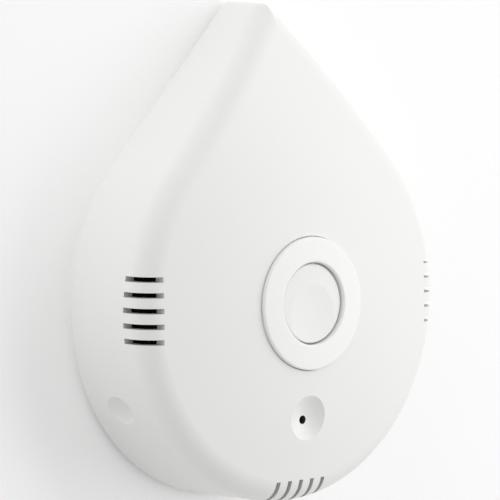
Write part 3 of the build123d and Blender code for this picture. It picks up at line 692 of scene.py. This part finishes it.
class TurnedRow(Recipe):
    """A piece turned from a profile, with an optional driver slot, set up in all its places.

    The seed is the profile, with x as the radius.
    """

    corner_steps: int = 2
    spin_seed: int = 7

    def __init__(self) -> None:
        """Builds the tree."""
        numbers = ("Edge Radius", "Slot Length", "Slot Width", "Slot Depth", "Slot Height", "Turn")
        inputs = {name: Socket.NUMBER for name in numbers}
        super().__init__("turned_row", {**inputs, "Segments": Socket.COUNT, "Places": Socket.OBJECT})
        self.position = self.graph.out("GeometryNodeInputPosition")
        self.close(self.set_up(self.cut_slot(self.revolve())))

    def revolve(self) -> bpy.types.NodeSocket:
        """Turns the profile about the z axis.

        Returns:
            The closed body.
        """
        graph, ends = self.graph, self.ends
        line = self.rounded(self.seed_line(), self.corner_steps)
        points = graph.out("GeometryNodeCurveToPoints", {0: line}, mode="EVALUATED")
        size = graph.node("GeometryNodeAttributeDomainSize", {0: points}, component="POINTCLOUD")
        count = size.outputs["Point Count"]
        unit = {"Size X": 1.0, "Size Y": 1.0, "Vertices X": ends["Segments"], "Vertices Y": count}
        grid = graph.out("GeometryNodeMeshGrid", unit)
        row = graph.math("FLOORED_MODULO", graph.out("GeometryNodeInputIndex"), count)
        sample = {"Geometry": points, "Value": self.position, "Index": row}
        corner = graph.out("GeometryNodeSampleIndex", sample, data_type="FLOAT_VECTOR", domain="POINT")
        radius, _, height = graph.split(corner)
        angle = graph.product(graph.math("ADD", graph.split(self.position)[0], 0.5), math.tau)
        x, y = (graph.product(radius, graph.math(wave, angle)) for wave in ("COSINE", "SINE"))
        swept = {"Geometry": grid, "Position": graph.join(x, y, height)}
        body = graph.out("GeometryNodeSetPosition", swept)
        return graph.out("GeometryNodeMergeByDistance", {"Geometry": body, "Distance": WELD_GAP})

    def cut_slot(self, body: bpy.types.NodeSocket) -> bpy.types.NodeSocket:
        """Cuts the driver slot where its width isn't zero.

        Args:
            body: The turned body.

        Returns:
            The body, cut or as it was.
        """
        graph, ends = self.graph, self.ends
        sides = graph.join(ends["Slot Length"], ends["Slot Width"], ends["Slot Depth"])
        block = graph.out("GeometryNodeMeshCube", {"Size": sides})
        moved = {"Geometry": block, "Translation": graph.join(z=ends["Slot Height"])}
        both = {"Mesh 1": body, "Mesh 2": graph.out("GeometryNodeTransform", moved)}
        cut = graph.out("GeometryNodeMeshBoolean", both, operation="DIFFERENCE", solver="EXACT")
        width = {0: ends["Slot Width"], 1: 0.0}
        wanted = graph.out("FunctionNodeCompare", width, data_type="FLOAT", operation="GREATER_THAN")
        choice = {"Switch": wanted, "False": body, "True": cut}
        return graph.out("GeometryNodeSwitch", choice, input_type="GEOMETRY")

    def set_up(self, piece: bpy.types.NodeSocket) -> bpy.types.NodeSocket:
        """Stands the piece on the points of the input Places.

        Args:
            piece: The finished piece at the origin.

        Returns:
            All copies, each turned by its own share of the input Turn.
        """
        graph, ends = self.graph, self.ends
        stored = {"Geometry": piece, "Name": OWN_PLACE, "Value": self.position}
        own = graph.out("GeometryNodeStoreNamedAttribute", stored, data_type="FLOAT_VECTOR", domain="POINT")
        places = graph.node("GeometryNodeObjectInfo", {"Object": ends["Places"]}).outputs["Geometry"]
        spin = graph.node("FunctionNodeRandomValue", data_type="FLOAT")
        limits = {"Min": 0.0, "Max": ends["Turn"], "Seed": self.spin_seed}
        for socket in spin.inputs:
            if socket.enabled and socket.name in limits:
                graph.feed(socket, limits[socket.name])
        turn = graph.join(z=next(socket for socket in spin.outputs if socket.enabled))
        copies = {"Points": places, "Instance": own, "Rotation": turn}
        return graph.out("GeometryNodeInstanceOnPoints", copies)


class RoundWires(Recipe):
    """Round wire along each line of the seed."""

    def __init__(self) -> None:
        """Builds the tree."""
        super().__init__("round_wires", {"Wire Radius": Socket.NUMBER, "Sides": Socket.COUNT})
        self.close(self.wire(self.seed_line()))


class SweptBand(Recipe):
    """A band of rounded rectangular section along the seed, which lies level."""

    corner_steps: int = 3

    def __init__(self) -> None:
        """Builds the tree."""
        super().__init__("swept_band", {name: Socket.NUMBER for name in ("Width", "Height", "Edge Radius")})
        sides = {0: self.ends["Width"], 1: self.ends["Height"]}
        section = self.graph.out("GeometryNodeCurvePrimitiveQuadrilateral", sides)
        swept = {"Curve": self.seed_line(), "Profile Curve": self.rounded(section, self.corner_steps)}
        self.close(self.graph.out("GeometryNodeCurveToMesh", swept))


class WoundCoil(Recipe):
    """A coil of wire about the seed's points."""

    def __init__(self) -> None:
        """Builds the tree."""
        inputs = {name: Socket.NUMBER for name in ("Coil Radius", "Coil Height", "Turns", "Wire Radius")}
        super().__init__("wound_coil", {**inputs, "Sides": Socket.COUNT, "Steps": Socket.COUNT})
        ends = self.ends
        turns = {
            "Resolution": ends["Steps"],
            "Rotations": ends["Turns"],
            "Start Radius": ends["Coil Radius"],
            "End Radius": ends["Coil Radius"],
            "Height": ends["Coil Height"],
        }
        wire = self.wire(self.graph.out("GeometryNodeCurveSpiral", turns))
        copies = {"Points": ends["Seed"], "Instance": wire}
        self.close(self.graph.out("GeometryNodeInstanceOnPoints", copies))


@dataclass(frozen=True)
class Driver:
    """The slot for a screwdriver across a turned head; a width of zero is none."""

    width: float = 0.0
    depth: float = 0.0
    height: float = 0.0
    reach_share: float = 2.2


class Workshop:
    """Holds the finishes and the recipes, and makes, places and dresses pieces."""

    def __init__(self) -> None:
        """Makes all materials and trees."""
        self.slots = {row["node"]: row["material_slot"] for row in frame["record"]["subparts"]}
        self.materials = {slot: finish.build() for slot, finish in FINISHES.items()}
        self.turned_row = TurnedRow()
        self.round_wires = RoundWires()
        self.swept_band = SweptBand()
        self.wound_coil = WoundCoil()

    def dress_nodes(self, pivot: Vector) -> None:
        """Dresses every node of the frame in the finish of its slot.

        Args:
            pivot: The centre of the round end, for the finish of the front cover.
        """
        plain = FINISHES["housing"]
        centre = (float(pivot.x), float(pivot.y))
        # The front cover's material paints shade into its slots and its pin hole.
        vented = VentedFinish("vented_white", plain.colour, plain.roughness, centre=centre)
        special = {"front_cover": vented.build()}
        for name, node in frame["nodes"].items():
            dress(node, special.get(name, self.materials[self.slots[name]]))
            log.info("dressed %s in %s", name, self.slots[name])

    def solids(self, node: str) -> list[tuple[Vector, Vector]]:
        """Boxes of the separate solids of a node.

        Args:
            node: The node's name.

        Returns:
            Lowest and highest corner of each solid, in order of x and y.
        """
        made = bmesh.new()
        made.from_mesh(frame["nodes"][node].data)
        bmesh.ops.remove_doubles(made, verts=made.verts, dist=WELD_GAP)
        boxes, left = [], set(made.verts)
        while left:
            heap, island = [left.pop()], []
            while heap:
                vert = heap.pop()
                island.append(vert.co.copy())
                for edge in vert.link_edges:
                    other = edge.other_vert(vert)
                    if other in left:
                        left.remove(other)
                        heap.append(other)
            corners = list(zip(*island))
            boxes.append((Vector([min(c) for c in corners]), Vector([max(c) for c in corners])))
        made.free()
        return sorted(boxes, key=lambda box: tuple(round(c, SORT_DIGITS) for c in (box[0] + box[1])))

    def finish_piece(self, piece: bpy.types.Object, node: str, slot: str = "") -> None:
        """Lets a new piece stand for a node of the housing.

        Args:
            piece: The new piece.
            node: The node that it replaces.
            slot: The slot of its finish, where it isn't the node's own.
        """
        slot = slot or self.slots[node]
        dress(piece, self.materials[slot])
        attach(piece, "housing")
        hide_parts(node)
        log.info("made %s with %d faces", piece.name, len(piece.data.polygons))

    def turn(self, node: str, profile: list[Pair], edge: float, driver: Driver = Driver(),
             segments: int = 37, slot: str = "") -> None:
        """Replaces a node by pieces turned from a profile, standing where its solids stand.

        Args:
            node: The node's name.
            profile: Radius and height of each corner, from the solid's lowest point.
            edge: Radius of the profile's rounded corners.
            driver: The slot for a screwdriver.
            segments: Number of points round the piece, the last on the first.
            slot: The slot of its finish, where it isn't the node's own.
        """
        places = [((low.x + high.x) / 2, (low.y + high.y) / 2, low.z) for low, high in self.solids(node)]
        spots = link_new(node + "_places", chain(node + "_places", [[place] for place in places]))
        seed = chain(node + "_profile", [[(radius, 0.0, height) for radius, height in profile]])
        values = {
            "Edge Radius": edge,
            "Segments": segments,
            "Slot Length": driver.reach_share * max(radius for radius, _ in profile),
            "Slot Width": driver.width,
            "Slot Depth": driver.depth,
            "Slot Height": driver.height,
            "Turn": math.pi if driver.width else 0.0,
            "Places": spots,
            "Material": self.materials[self.slots[node]],
        }
        piece = self.turned_row.grow("turned_" + node, seed, values)
        bpy.data.objects.remove(spots)
        self.finish_piece(piece, node, slot)


@dataclass(frozen=True)
class VentScreens:
    """Woven wire screens behind the three rows of slots."""

    mesh_pitch: float = 0.42 * MM
    wire_radius: float = 0.12 * MM
    sheet_thickness: float = 0.35 * MM
    edge_gap: float = 0.2 * MM
    fan_low_degrees: float = 2.0
    fan_high_degrees: float = 88.0
    arc_share: float = 0.85
    sway_share: float = 0.45
    sides: int = 4

    def build(self, shop: Workshop) -> None:
        """Weaves all three screens in the room of the screen node.

        Args:
            shop: The workshop.
        """
        data = frame["nodes"]["vent_screens"].data
        faces = [tuple(face.vertices) for face in data.polygons]
        tree = BVHTree.FromPolygons([vert.co for vert in data.vertices], faces)
        middle = (CAD_LOW[0] + CAD_HIGH[0]) / 2
        lines = []
        for low, high in shop.solids("vent_screens"):
            lines += self.weave(tree, low, high, middle)
        values = {"Wire Radius": self.wire_radius, "Sides": self.sides, "Material": shop.materials["mesh"]}
        piece = shop.round_wires.grow("woven_screens", chain("screen_lines", lines), values)
        shop.finish_piece(piece, "vent_screens")

    def weave(self, tree: BVHTree, low: Vector, high: Vector, middle: float) -> list[list[Vector]]:
        """Lays the wires of one screen between the faces of its sheet.

        Args:
            tree: The sheets' surfaces.
            low: The sheet's lowest corner.
            high: The sheet's highest corner.
            middle: The x of the sensor's middle plane.

        Returns:
            The points of each wire.
        """
        if low.x < middle < high.x:
            out, along, start, end = Vector((0, -1, 0)), Vector((1, 0, 0)), low.x, high.x
            root = Vector((0, high.y, low.z))
        else:
            side = 1 if low.x > middle else -1
            out, along, start, end = Vector((side, 0, 0)), Vector((0, 1, 0)), low.y, high.y
            root = Vector((low.x if side > 0 else high.x, 0, low.z))
        rows = int((end - start - 2 * self.edge_gap) / self.mesh_pitch)
        reach = (high.z - low.z) + abs((high - low).dot(out))
        columns = int(reach * self.arc_share / self.mesh_pitch)
        grid = []
        for row in range(rows + 1):
            foot = root + along * (start + self.edge_gap + row * self.mesh_pitch)
            line = self.fan(tree, foot, out, columns)
            if len(line) == columns + 1:
                grid.append(line)
        sway = self.wire_radius * self.sway_share

        def crossing(row: int, column: int, side: int) -> Vector:
            """Place of one wire where it crosses another, on one side of it."""
            place, way = grid[row][column]
            return place + way * sway * (side if (row + column) % 2 else -side)

        warp = [[crossing(row, column, 1) for column in range(columns + 1)] for row in range(len(grid))]
        weft = [[crossing(row, column, -1) for row in range(len(grid))] for column in range(columns + 1)]
        return warp + weft

    def fan(self, tree: BVHTree, foot: Vector, out: Vector, columns: int) -> list[tuple[Vector, Vector]]:
        """Follows a sheet's bend in one plane, from its lower end to its upper one.

        Args:
            tree: The sheets' surfaces.
            foot: The point that the lines of sight start from.
            out: The level direction outwards.
            columns: Number of steps along the bend.

        Returns:
            Each point within the sheet, with the direction across it; fewer where a line of sight misses.
        """
        line = []
        for column in range(columns + 1):
            spread = self.fan_high_degrees - self.fan_low_degrees
            angle = math.radians(self.fan_low_degrees + spread * column / columns)
            way = out * math.cos(angle) + Vector((0, 0, math.sin(angle)))
            hit = tree.ray_cast(foot, way)[0]
            if hit is None:
                break
            line.append((hit + way * self.sheet_thickness / 2, way))
        return line


@dataclass(frozen=True)
class RimSeal:
    """Rubber band lying along the drop outline, between the two covers."""

    width: float = 1.0 * MM
    edge_radius: float = 0.25 * MM
    tip_round: float = 0.6 * MM
    belly_radius: float = 38.0 * MM
    tip_radius: float = 2.6 * MM
    tip_distance: float = 52.5 * MM
    belly_steps: int = 96
    tip_steps: int = 8

    def outline(self, centre: Vector, radius: float) -> list[Vector]:
        """Lays points along a drop, once round.

        Args:
            centre: The centre of its round end.
            radius: The radius of its round end.

        Returns:
            The points.
        """
        flank = math.asin((self.belly_radius - self.tip_radius) / self.tip_distance)
        tip = centre + Vector((0.0, (radius - self.tip_round) / math.sin(flank), 0.0))
        belly = arc(centre, radius, math.pi - flank, math.pi + 2 * flank, self.belly_steps)
        return belly + arc(tip, self.tip_round, flank, math.pi - 2 * flank, self.tip_steps)

    def build(self, shop: Workshop) -> None:
        """Makes the seal.

        Args:
            shop: The workshop.
        """
        low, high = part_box("rim_seal")
        outer = (high.x - low.x) / 2
        height = high.z - low.z
        centre = Vector(((low.x + high.x) / 2, low.y + outer, low.z + height / 2))
        points = self.outline(centre, outer - self.width / 2)
        seed = bpy.data.meshes.new("seal_line")
        seed.from_pydata(points, [(i, (i + 1) % len(points)) for i in range(len(points))], [])
        values = {
            "Width": self.width,
            "Height": height,
            "Edge Radius": self.edge_radius,
            "Material": shop.materials["seals"],
        }
        shop.finish_piece(shop.swept_band.grow("swept_rim_seal", seed, values), "rim_seal")


@dataclass(frozen=True)
class SirenTransformer:
    """Drum core with its winding, beside the siren."""

    radius: float = 3.2 * MM
    flange_height: float = 0.8 * MM
    winding_inset: float = 0.4 * MM
    wire_radius: float = 0.13 * MM
    edge_radius: float = 0.15 * MM
    wire_sides: int = 8
    turn_steps: int = 40

    def build(self, shop: Workshop) -> None:
        """Makes the drum and the winding.

        Args:
            shop: The workshop.
        """
        low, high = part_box("siren_transformer")
        height = high.z - low.z
        core = self.radius - self.winding_inset - 2 * self.wire_radius
        edge, top = self.flange_height, height - self.flange_height
        profile = [(0.0, 0.0), (self.radius, 0.0), (self.radius, edge), (core, edge), (core, top)]
        profile += [(self.radius, top), (self.radius, height), (0.0, height)]
        shop.turn("siren_transformer", profile, self.edge_radius, slot="dark_plastic")
        room = top - edge - 2 * self.wire_radius
        start = ((low.x + high.x) / 2, (low.y + high.y) / 2, low.z + edge + self.wire_radius)
        values = {
            "Coil Radius": core + self.wire_radius,
            "Coil Height": room,
            "Turns": room / (2 * self.wire_radius),
            "Wire Radius": self.wire_radius,
            "Sides": self.wire_sides,
            "Steps": self.turn_steps,
            "Material": shop.materials["copper_winding"],
        }
        piece = shop.wound_coil.grow("transformer_winding", chain("winding_place", [[start]]), values)
        shop.finish_piece(piece, "siren_transformer")


@dataclass(frozen=True)
class Fastening:
    """The screws that hold the housing together and the board on its posts."""

    case_head_radius: float = 2.3 * MM
    case_head_height: float = 1.2 * MM
    case_shank_radius: float = 1.2 * MM
    case_length: float = 8.0 * MM
    case_slot_width: float = 0.7 * MM
    case_tip_share: float = 0.5
    board_head_radius: float = 1.9 * MM
    board_head_height: float = 1.2 * MM
    board_shank_radius: float = 0.95 * MM
    board_slot_width: float = 0.6 * MM
    board_tip_share: float = 0.6
    board_tip_rise_share: float = 0.5
    board_dome_share: float = 0.7
    board_dome_rise_share: float = 1 / 3
    slot_depth_share: float = 2.0
    thread_pitch: float = 0.5 * MM
    thread_depth: float = 0.12 * MM
    edge_radius: float = 0.12 * MM

    def thread(self, radius: float, low: float, high: float) -> list[Pair]:
        """Lays out the corners of the thread between two heights.

        Args:
            radius: The thread's outer radius.
            low: Its first height.
            high: Its last height.

        Returns:
            Radius and height of each corner, upwards.
        """
        turns = max(1, int((high - low) / self.thread_pitch))
        step = (high - low) / turns
        corners = []
        for turn in range(turns):
            corners.append((radius, low + turn * step))
            corners.append((radius - self.thread_depth, low + (turn + 0.5) * step))
        return corners + [(radius, high)]

    def build(self, shop: Workshop) -> None:
        """Makes both kinds of screw.

        Args:
            shop: The workshop.
        """
        self.make_case_screws(shop)
        self.make_board_screws(shop)

    def make_case_screws(self, shop: Workshop) -> None:
        """Makes the screws of the case, whose heads are below.

        Args:
            shop: The workshop.
        """
        head, shank, length = self.case_head_radius, self.case_shank_radius, self.case_length
        profile = [(0.0, 0.0), (head, 0.0)] + self.thread(shank, self.case_head_height, length - shank)
        profile += [(shank * self.case_tip_share, length), (0.0, length)]
        width = self.case_slot_width
        shop.turn("case_screws", profile, self.edge_radius, Driver(width, width * self.slot_depth_share))

    def make_board_screws(self, shop: Workshop) -> None:
        """Makes the screws of the board, whose heads are above.

        Args:
            shop: The workshop.
        """
        low, high = shop.solids("board_screws")[0]
        length, head, shank = high.z - low.z, self.board_head_radius, self.board_shank_radius
        seat = length - self.board_head_height
        rim = length - self.board_head_height * self.board_dome_rise_share
        profile = [(0.0, 0.0), (shank * self.board_tip_share, 0.0)]
        profile += self.thread(shank, shank * self.board_tip_rise_share, seat)
        profile += [(head, seat), (head, rim), (head * self.board_dome_share, length), (0.0, length)]
        width = self.board_slot_width
        driver = Driver(width, width * self.slot_depth_share, length)
        shop.turn("board_screws", profile, self.edge_radius, driver)


@dataclass(frozen=True)
class Feet:
    """Three round rubber feet in pockets of the back."""

    radius: float = 4.0 * MM
    edge: float = 0.4 * MM
    dish_radius: float = 2.6 * MM
    dish_depth: float = 0.12 * MM
    dish_run: float = 0.2 * MM
    edge_radius: float = 0.1 * MM
    segments: int = 65

    def build(self, shop: Workshop) -> None:
        """Makes each foot, with a shallow dish in its sole.

        Args:
            shop: The workshop.
        """
        dish = self.dish_radius
        for node in ("foot_left", "foot_right", "foot_tip"):
            low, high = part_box(node)
            top = high.z - low.z
            profile = [(0.0, self.dish_depth), (dish, self.dish_depth), (dish + self.dish_run, 0.0)]
            profile += [(self.radius - self.edge, 0.0), (self.radius, self.edge)]
            profile += [(self.radius, top), (0.0, top)]
            shop.turn(node, profile, self.edge_radius, segments=self.segments)


@dataclass(frozen=True)
class Probes:
    """Four water probes, and the sprung pins that carry their signal up."""

    head_radius: float = 2.4 * MM
    head_height: float = 0.9 * MM
    head_bevel: float = 0.35 * MM
    shank_radius: float = 1.0 * MM
    edge_radius: float = 0.15 * MM
    barrel_radius: float = 1.0 * MM
    barrel_length: float = 5.6 * MM
    collar_height: float = 0.4 * MM
    collar_inset: float = 0.15 * MM
    plunger_radius: float = 0.6 * MM
    pin_edge_radius: float = 0.075 * MM
    pin_segments: int = 33

    def build(self, shop: Workshop) -> None:
        """Makes the studs and the pins.

        Args:
            shop: The workshop.
        """
        self.make_studs(shop)
        self.make_pins(shop)

    def make_studs(self, shop: Workshop) -> None:
        """Makes the studs whose heads nearly reach the floor.

        Args:
            shop: The workshop.
        """
        low, high = shop.solids("probe_contacts")[0]
        top, head, bevel = high.z - low.z, self.head_radius, self.head_bevel
        profile = [(0.0, 0.0), (head - bevel, 0.0), (head, bevel), (head, self.head_height)]
        profile += [(self.shank_radius, self.head_height), (self.shank_radius, top), (0.0, top)]
        shop.turn("probe_contacts", profile, self.edge_radius)

    def make_pins(self, shop: Workshop) -> None:
        """Makes the sprung pins, each a barrel on a slimmer plunger.

        Args:
            shop: The workshop.
        """
        low, high = shop.solids("probe_pins")[0]
        top, barrel, plunger = high.z - low.z, self.barrel_radius, self.plunger_radius
        middle = top - self.barrel_length
        profile = [(0.0, 0.0), (plunger, 0.0), (plunger, middle), (barrel - self.collar_inset, middle)]
        profile += [(barrel, middle + self.collar_height), (barrel, top), (0.0, top)]
        shop.turn("probe_pins", profile, self.pin_edge_radius, segments=self.pin_segments)


@dataclass(frozen=True)
class Lamp:
    """One soft square lamp, placed by its direction from the sensor."""

    name: str
    azimuth: float
    elevation: float
    power: float
    size: float = 0.6

    def build(self, centre: Vector, distance: float) -> None:
        """Makes the lamp.

        Args:
            centre: The point that it faces.
            distance: How far it stands from that point.
        """
        data = bpy.data.lights.new(self.name, "AREA")
        data.shape = "SQUARE"
        data.size = self.size
        data.energy = self.power
        lamp = link_new(self.name, data)
        turn, lift = math.radians(self.azimuth), math.radians(self.elevation)
        level = math.cos(lift)
        way = Vector((math.cos(turn) * level, math.sin(turn) * level, math.sin(lift)))
        facing = way.to_track_quat("Z", "Y").to_matrix().to_4x4()
        lamp.matrix_world = Matrix.Translation(centre + way * distance) @ facing


@dataclass(frozen=True)
class Studio:
    """Pale floor, soft lamps and a white surround."""

    floor_size: float = 6.0
    floor_paint: float = 0.9
    floor_whitening: float = 0.12
    glow_strength: float = 0.46
    glow_azimuth: float = 135.0
    sky_strength: float = 0.61
    lamp_distance: float = 0.9
    lamps: tuple[Lamp, ...] = (
        Lamp("key_lamp", 45.0, 38.0, 2.00),
        Lamp("side_lamp", 0.0, 37.0, 2.10),
        Lamp("back_lamp", 135.0, 19.8, 0.78),
    )

    def build(self, centre: Vector) -> None:
        """Makes the floor, the lamps and the world.

        Args:
            centre: The point that the lamps face.
        """
        self.add_floor(centre)
        for lamp in self.lamps:
            lamp.build(centre, self.lamp_distance)
        self.add_world()

    def seen(self, graph: Graph) -> bpy.types.NodeSocket:
        """Tells rays that look at or mirror the surround from those that light the object.

        Args:
            graph: The material's or the world's graph.

        Returns:
            One for a ray that looks or mirrors, and zero for one that lights.
        """
        path = graph.node("ShaderNodeLightPath").outputs
        looked = graph.math("MAXIMUM", path["Is Camera Ray"], path["Is Glossy Ray"])
        return graph.math("MAXIMUM", looked, path["Is Transmission Ray"])

    def glow(self, graph: Graph, centre: Vector) -> bpy.types.NodeSocket:
        """Works out the light that the floor throws back, strongest at one side.

        Args:
            graph: The floor's graph.
            centre: The point that the side is measured from.

        Returns:
            The strength of the light.
        """
        x, y, _ = graph.split(graph.node("ShaderNodeNewGeometry").outputs["Position"])
        dx = graph.math("SUBTRACT", x, float(centre.x))
        dy = graph.math("SUBTRACT", y, float(centre.y))
        angle = graph.math("SUBTRACT", graph.math("ARCTAN2", dy, dx), math.radians(self.glow_azimuth))
        return graph.product(graph.math("MAXIMUM", graph.math("COSINE", angle), 0.0), self.glow_strength)

    def add_floor(self, centre: Vector) -> None:
        """Makes the floor.

        Args:
            centre: The point that the side of its glow is measured from.
        """
        mesh = bpy.data.meshes.new("studio_floor")
        half = self.floor_size / 2
        corners = [(-half, -half, 0), (half, -half, 0), (half, half, 0), (-half, half, 0)]
        mesh.from_pydata(corners, [], [(0, 1, 2, 3)])
        floor = link_new("studio_floor", mesh)
        material = bpy.data.materials.new("white_floor")
        material.use_nodes = True
        material.node_tree.nodes.clear()
        graph = Graph(material.node_tree)
        mixed = {0: self.seen(graph), 2: self.glow(graph, centre), 3: self.floor_whitening}
        strength = graph.out("ShaderNodeMix", mixed, data_type="FLOAT")
        paint = graph.out("ShaderNodeBsdfDiffuse", {"Color": rgba((self.floor_paint,) * 3)})
        light = graph.out("ShaderNodeEmission", {"Color": rgba(WHITE), "Strength": strength})
        both = graph.out("ShaderNodeAddShader", {0: paint, 1: light})
        graph.node("ShaderNodeOutputMaterial", {"Surface": both})
        dress(floor, material)

    def add_world(self) -> None:
        """Makes a world that looks white and gives a plain soft light."""
        world = bpy.data.worlds.new("studio_world")
        bpy.context.scene.world = world
        world.use_nodes = True
        world.node_tree.nodes.clear()
        graph = Graph(world.node_tree)
        strength = graph.span(self.seen(graph), (0.0, 1.0), (self.sky_strength, 1.0))
        sky = graph.out("ShaderNodeBackground", {"Color": rgba(WHITE), "Strength": strength})
        graph.node("ShaderNodeOutputWorld", {"Surface": sky})


@dataclass(frozen=True)
class Viewpoint:
    """The photograph's camera, about the centre of the round end of the drop."""

    yaw: float = 0.7385
    pitch: float = 0.0997
    roll: float = -0.0114
    distance: float = 610.3 * MM
    focal_pixels: float = 3225.8
    axis_pixel_x: float = 226.8
    axis_pixel_y: float = 293.2
    sensor_width: float = 36.0

    def build(self, pivot: Vector) -> bpy.types.Object:
        """Makes the scene's camera.

        Args:
            pivot: The point that the angles and the distance are measured from.

        Returns:
            The camera.
        """
        turn = Matrix.Rotation(self.roll, 3, "Z") @ Matrix.Rotation(self.pitch, 3, "X")
        turn = turn @ Matrix.Rotation(self.yaw, 3, "Y")
        up, back = turn.row[1], turn.row[2]
        middle = IMAGE_SIZE / 2
        aim = Vector((middle - self.axis_pixel_x, self.axis_pixel_y - middle, -self.focal_pixels))
        away = -(turn.transposed() @ aim).normalized()
        side = Vector(up).cross(away).normalized()
        data = bpy.data.cameras.new("photo_camera")
        data.sensor_width = self.sensor_width
        data.lens = self.sensor_width * self.focal_pixels / IMAGE_SIZE
        camera = link_new("photo_camera", data)
        place = Matrix((side, away.cross(side), away)).transposed().to_4x4()
        place.translation = pivot + Vector(back) * self.distance
        camera.matrix_world = place
        return camera


def main() -> None:
    """Builds the looks of the sensor around its frame."""
    logging.basicConfig(level=logging.INFO, format="%(message)s")
    bpy.context.scene.view_settings.view_transform = "Standard"
    low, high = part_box("front_cover")
    radius = (high.x - low.x) / 2
    pivot = Vector(((low.x + high.x) / 2, low.y + radius, low.z))
    bpy.context.scene.camera = Viewpoint().build(pivot)
    shop = Workshop()
    shop.dress_nodes(pivot)
    for assembly in (VentScreens(), RimSeal(), Fastening(), Feet(), Probes(), SirenTransformer()):
        assembly.build(shop)
        log.info("built %s", type(assembly).__name__)
    Studio().build(pivot)


if __name__ == "__main__":
    main()
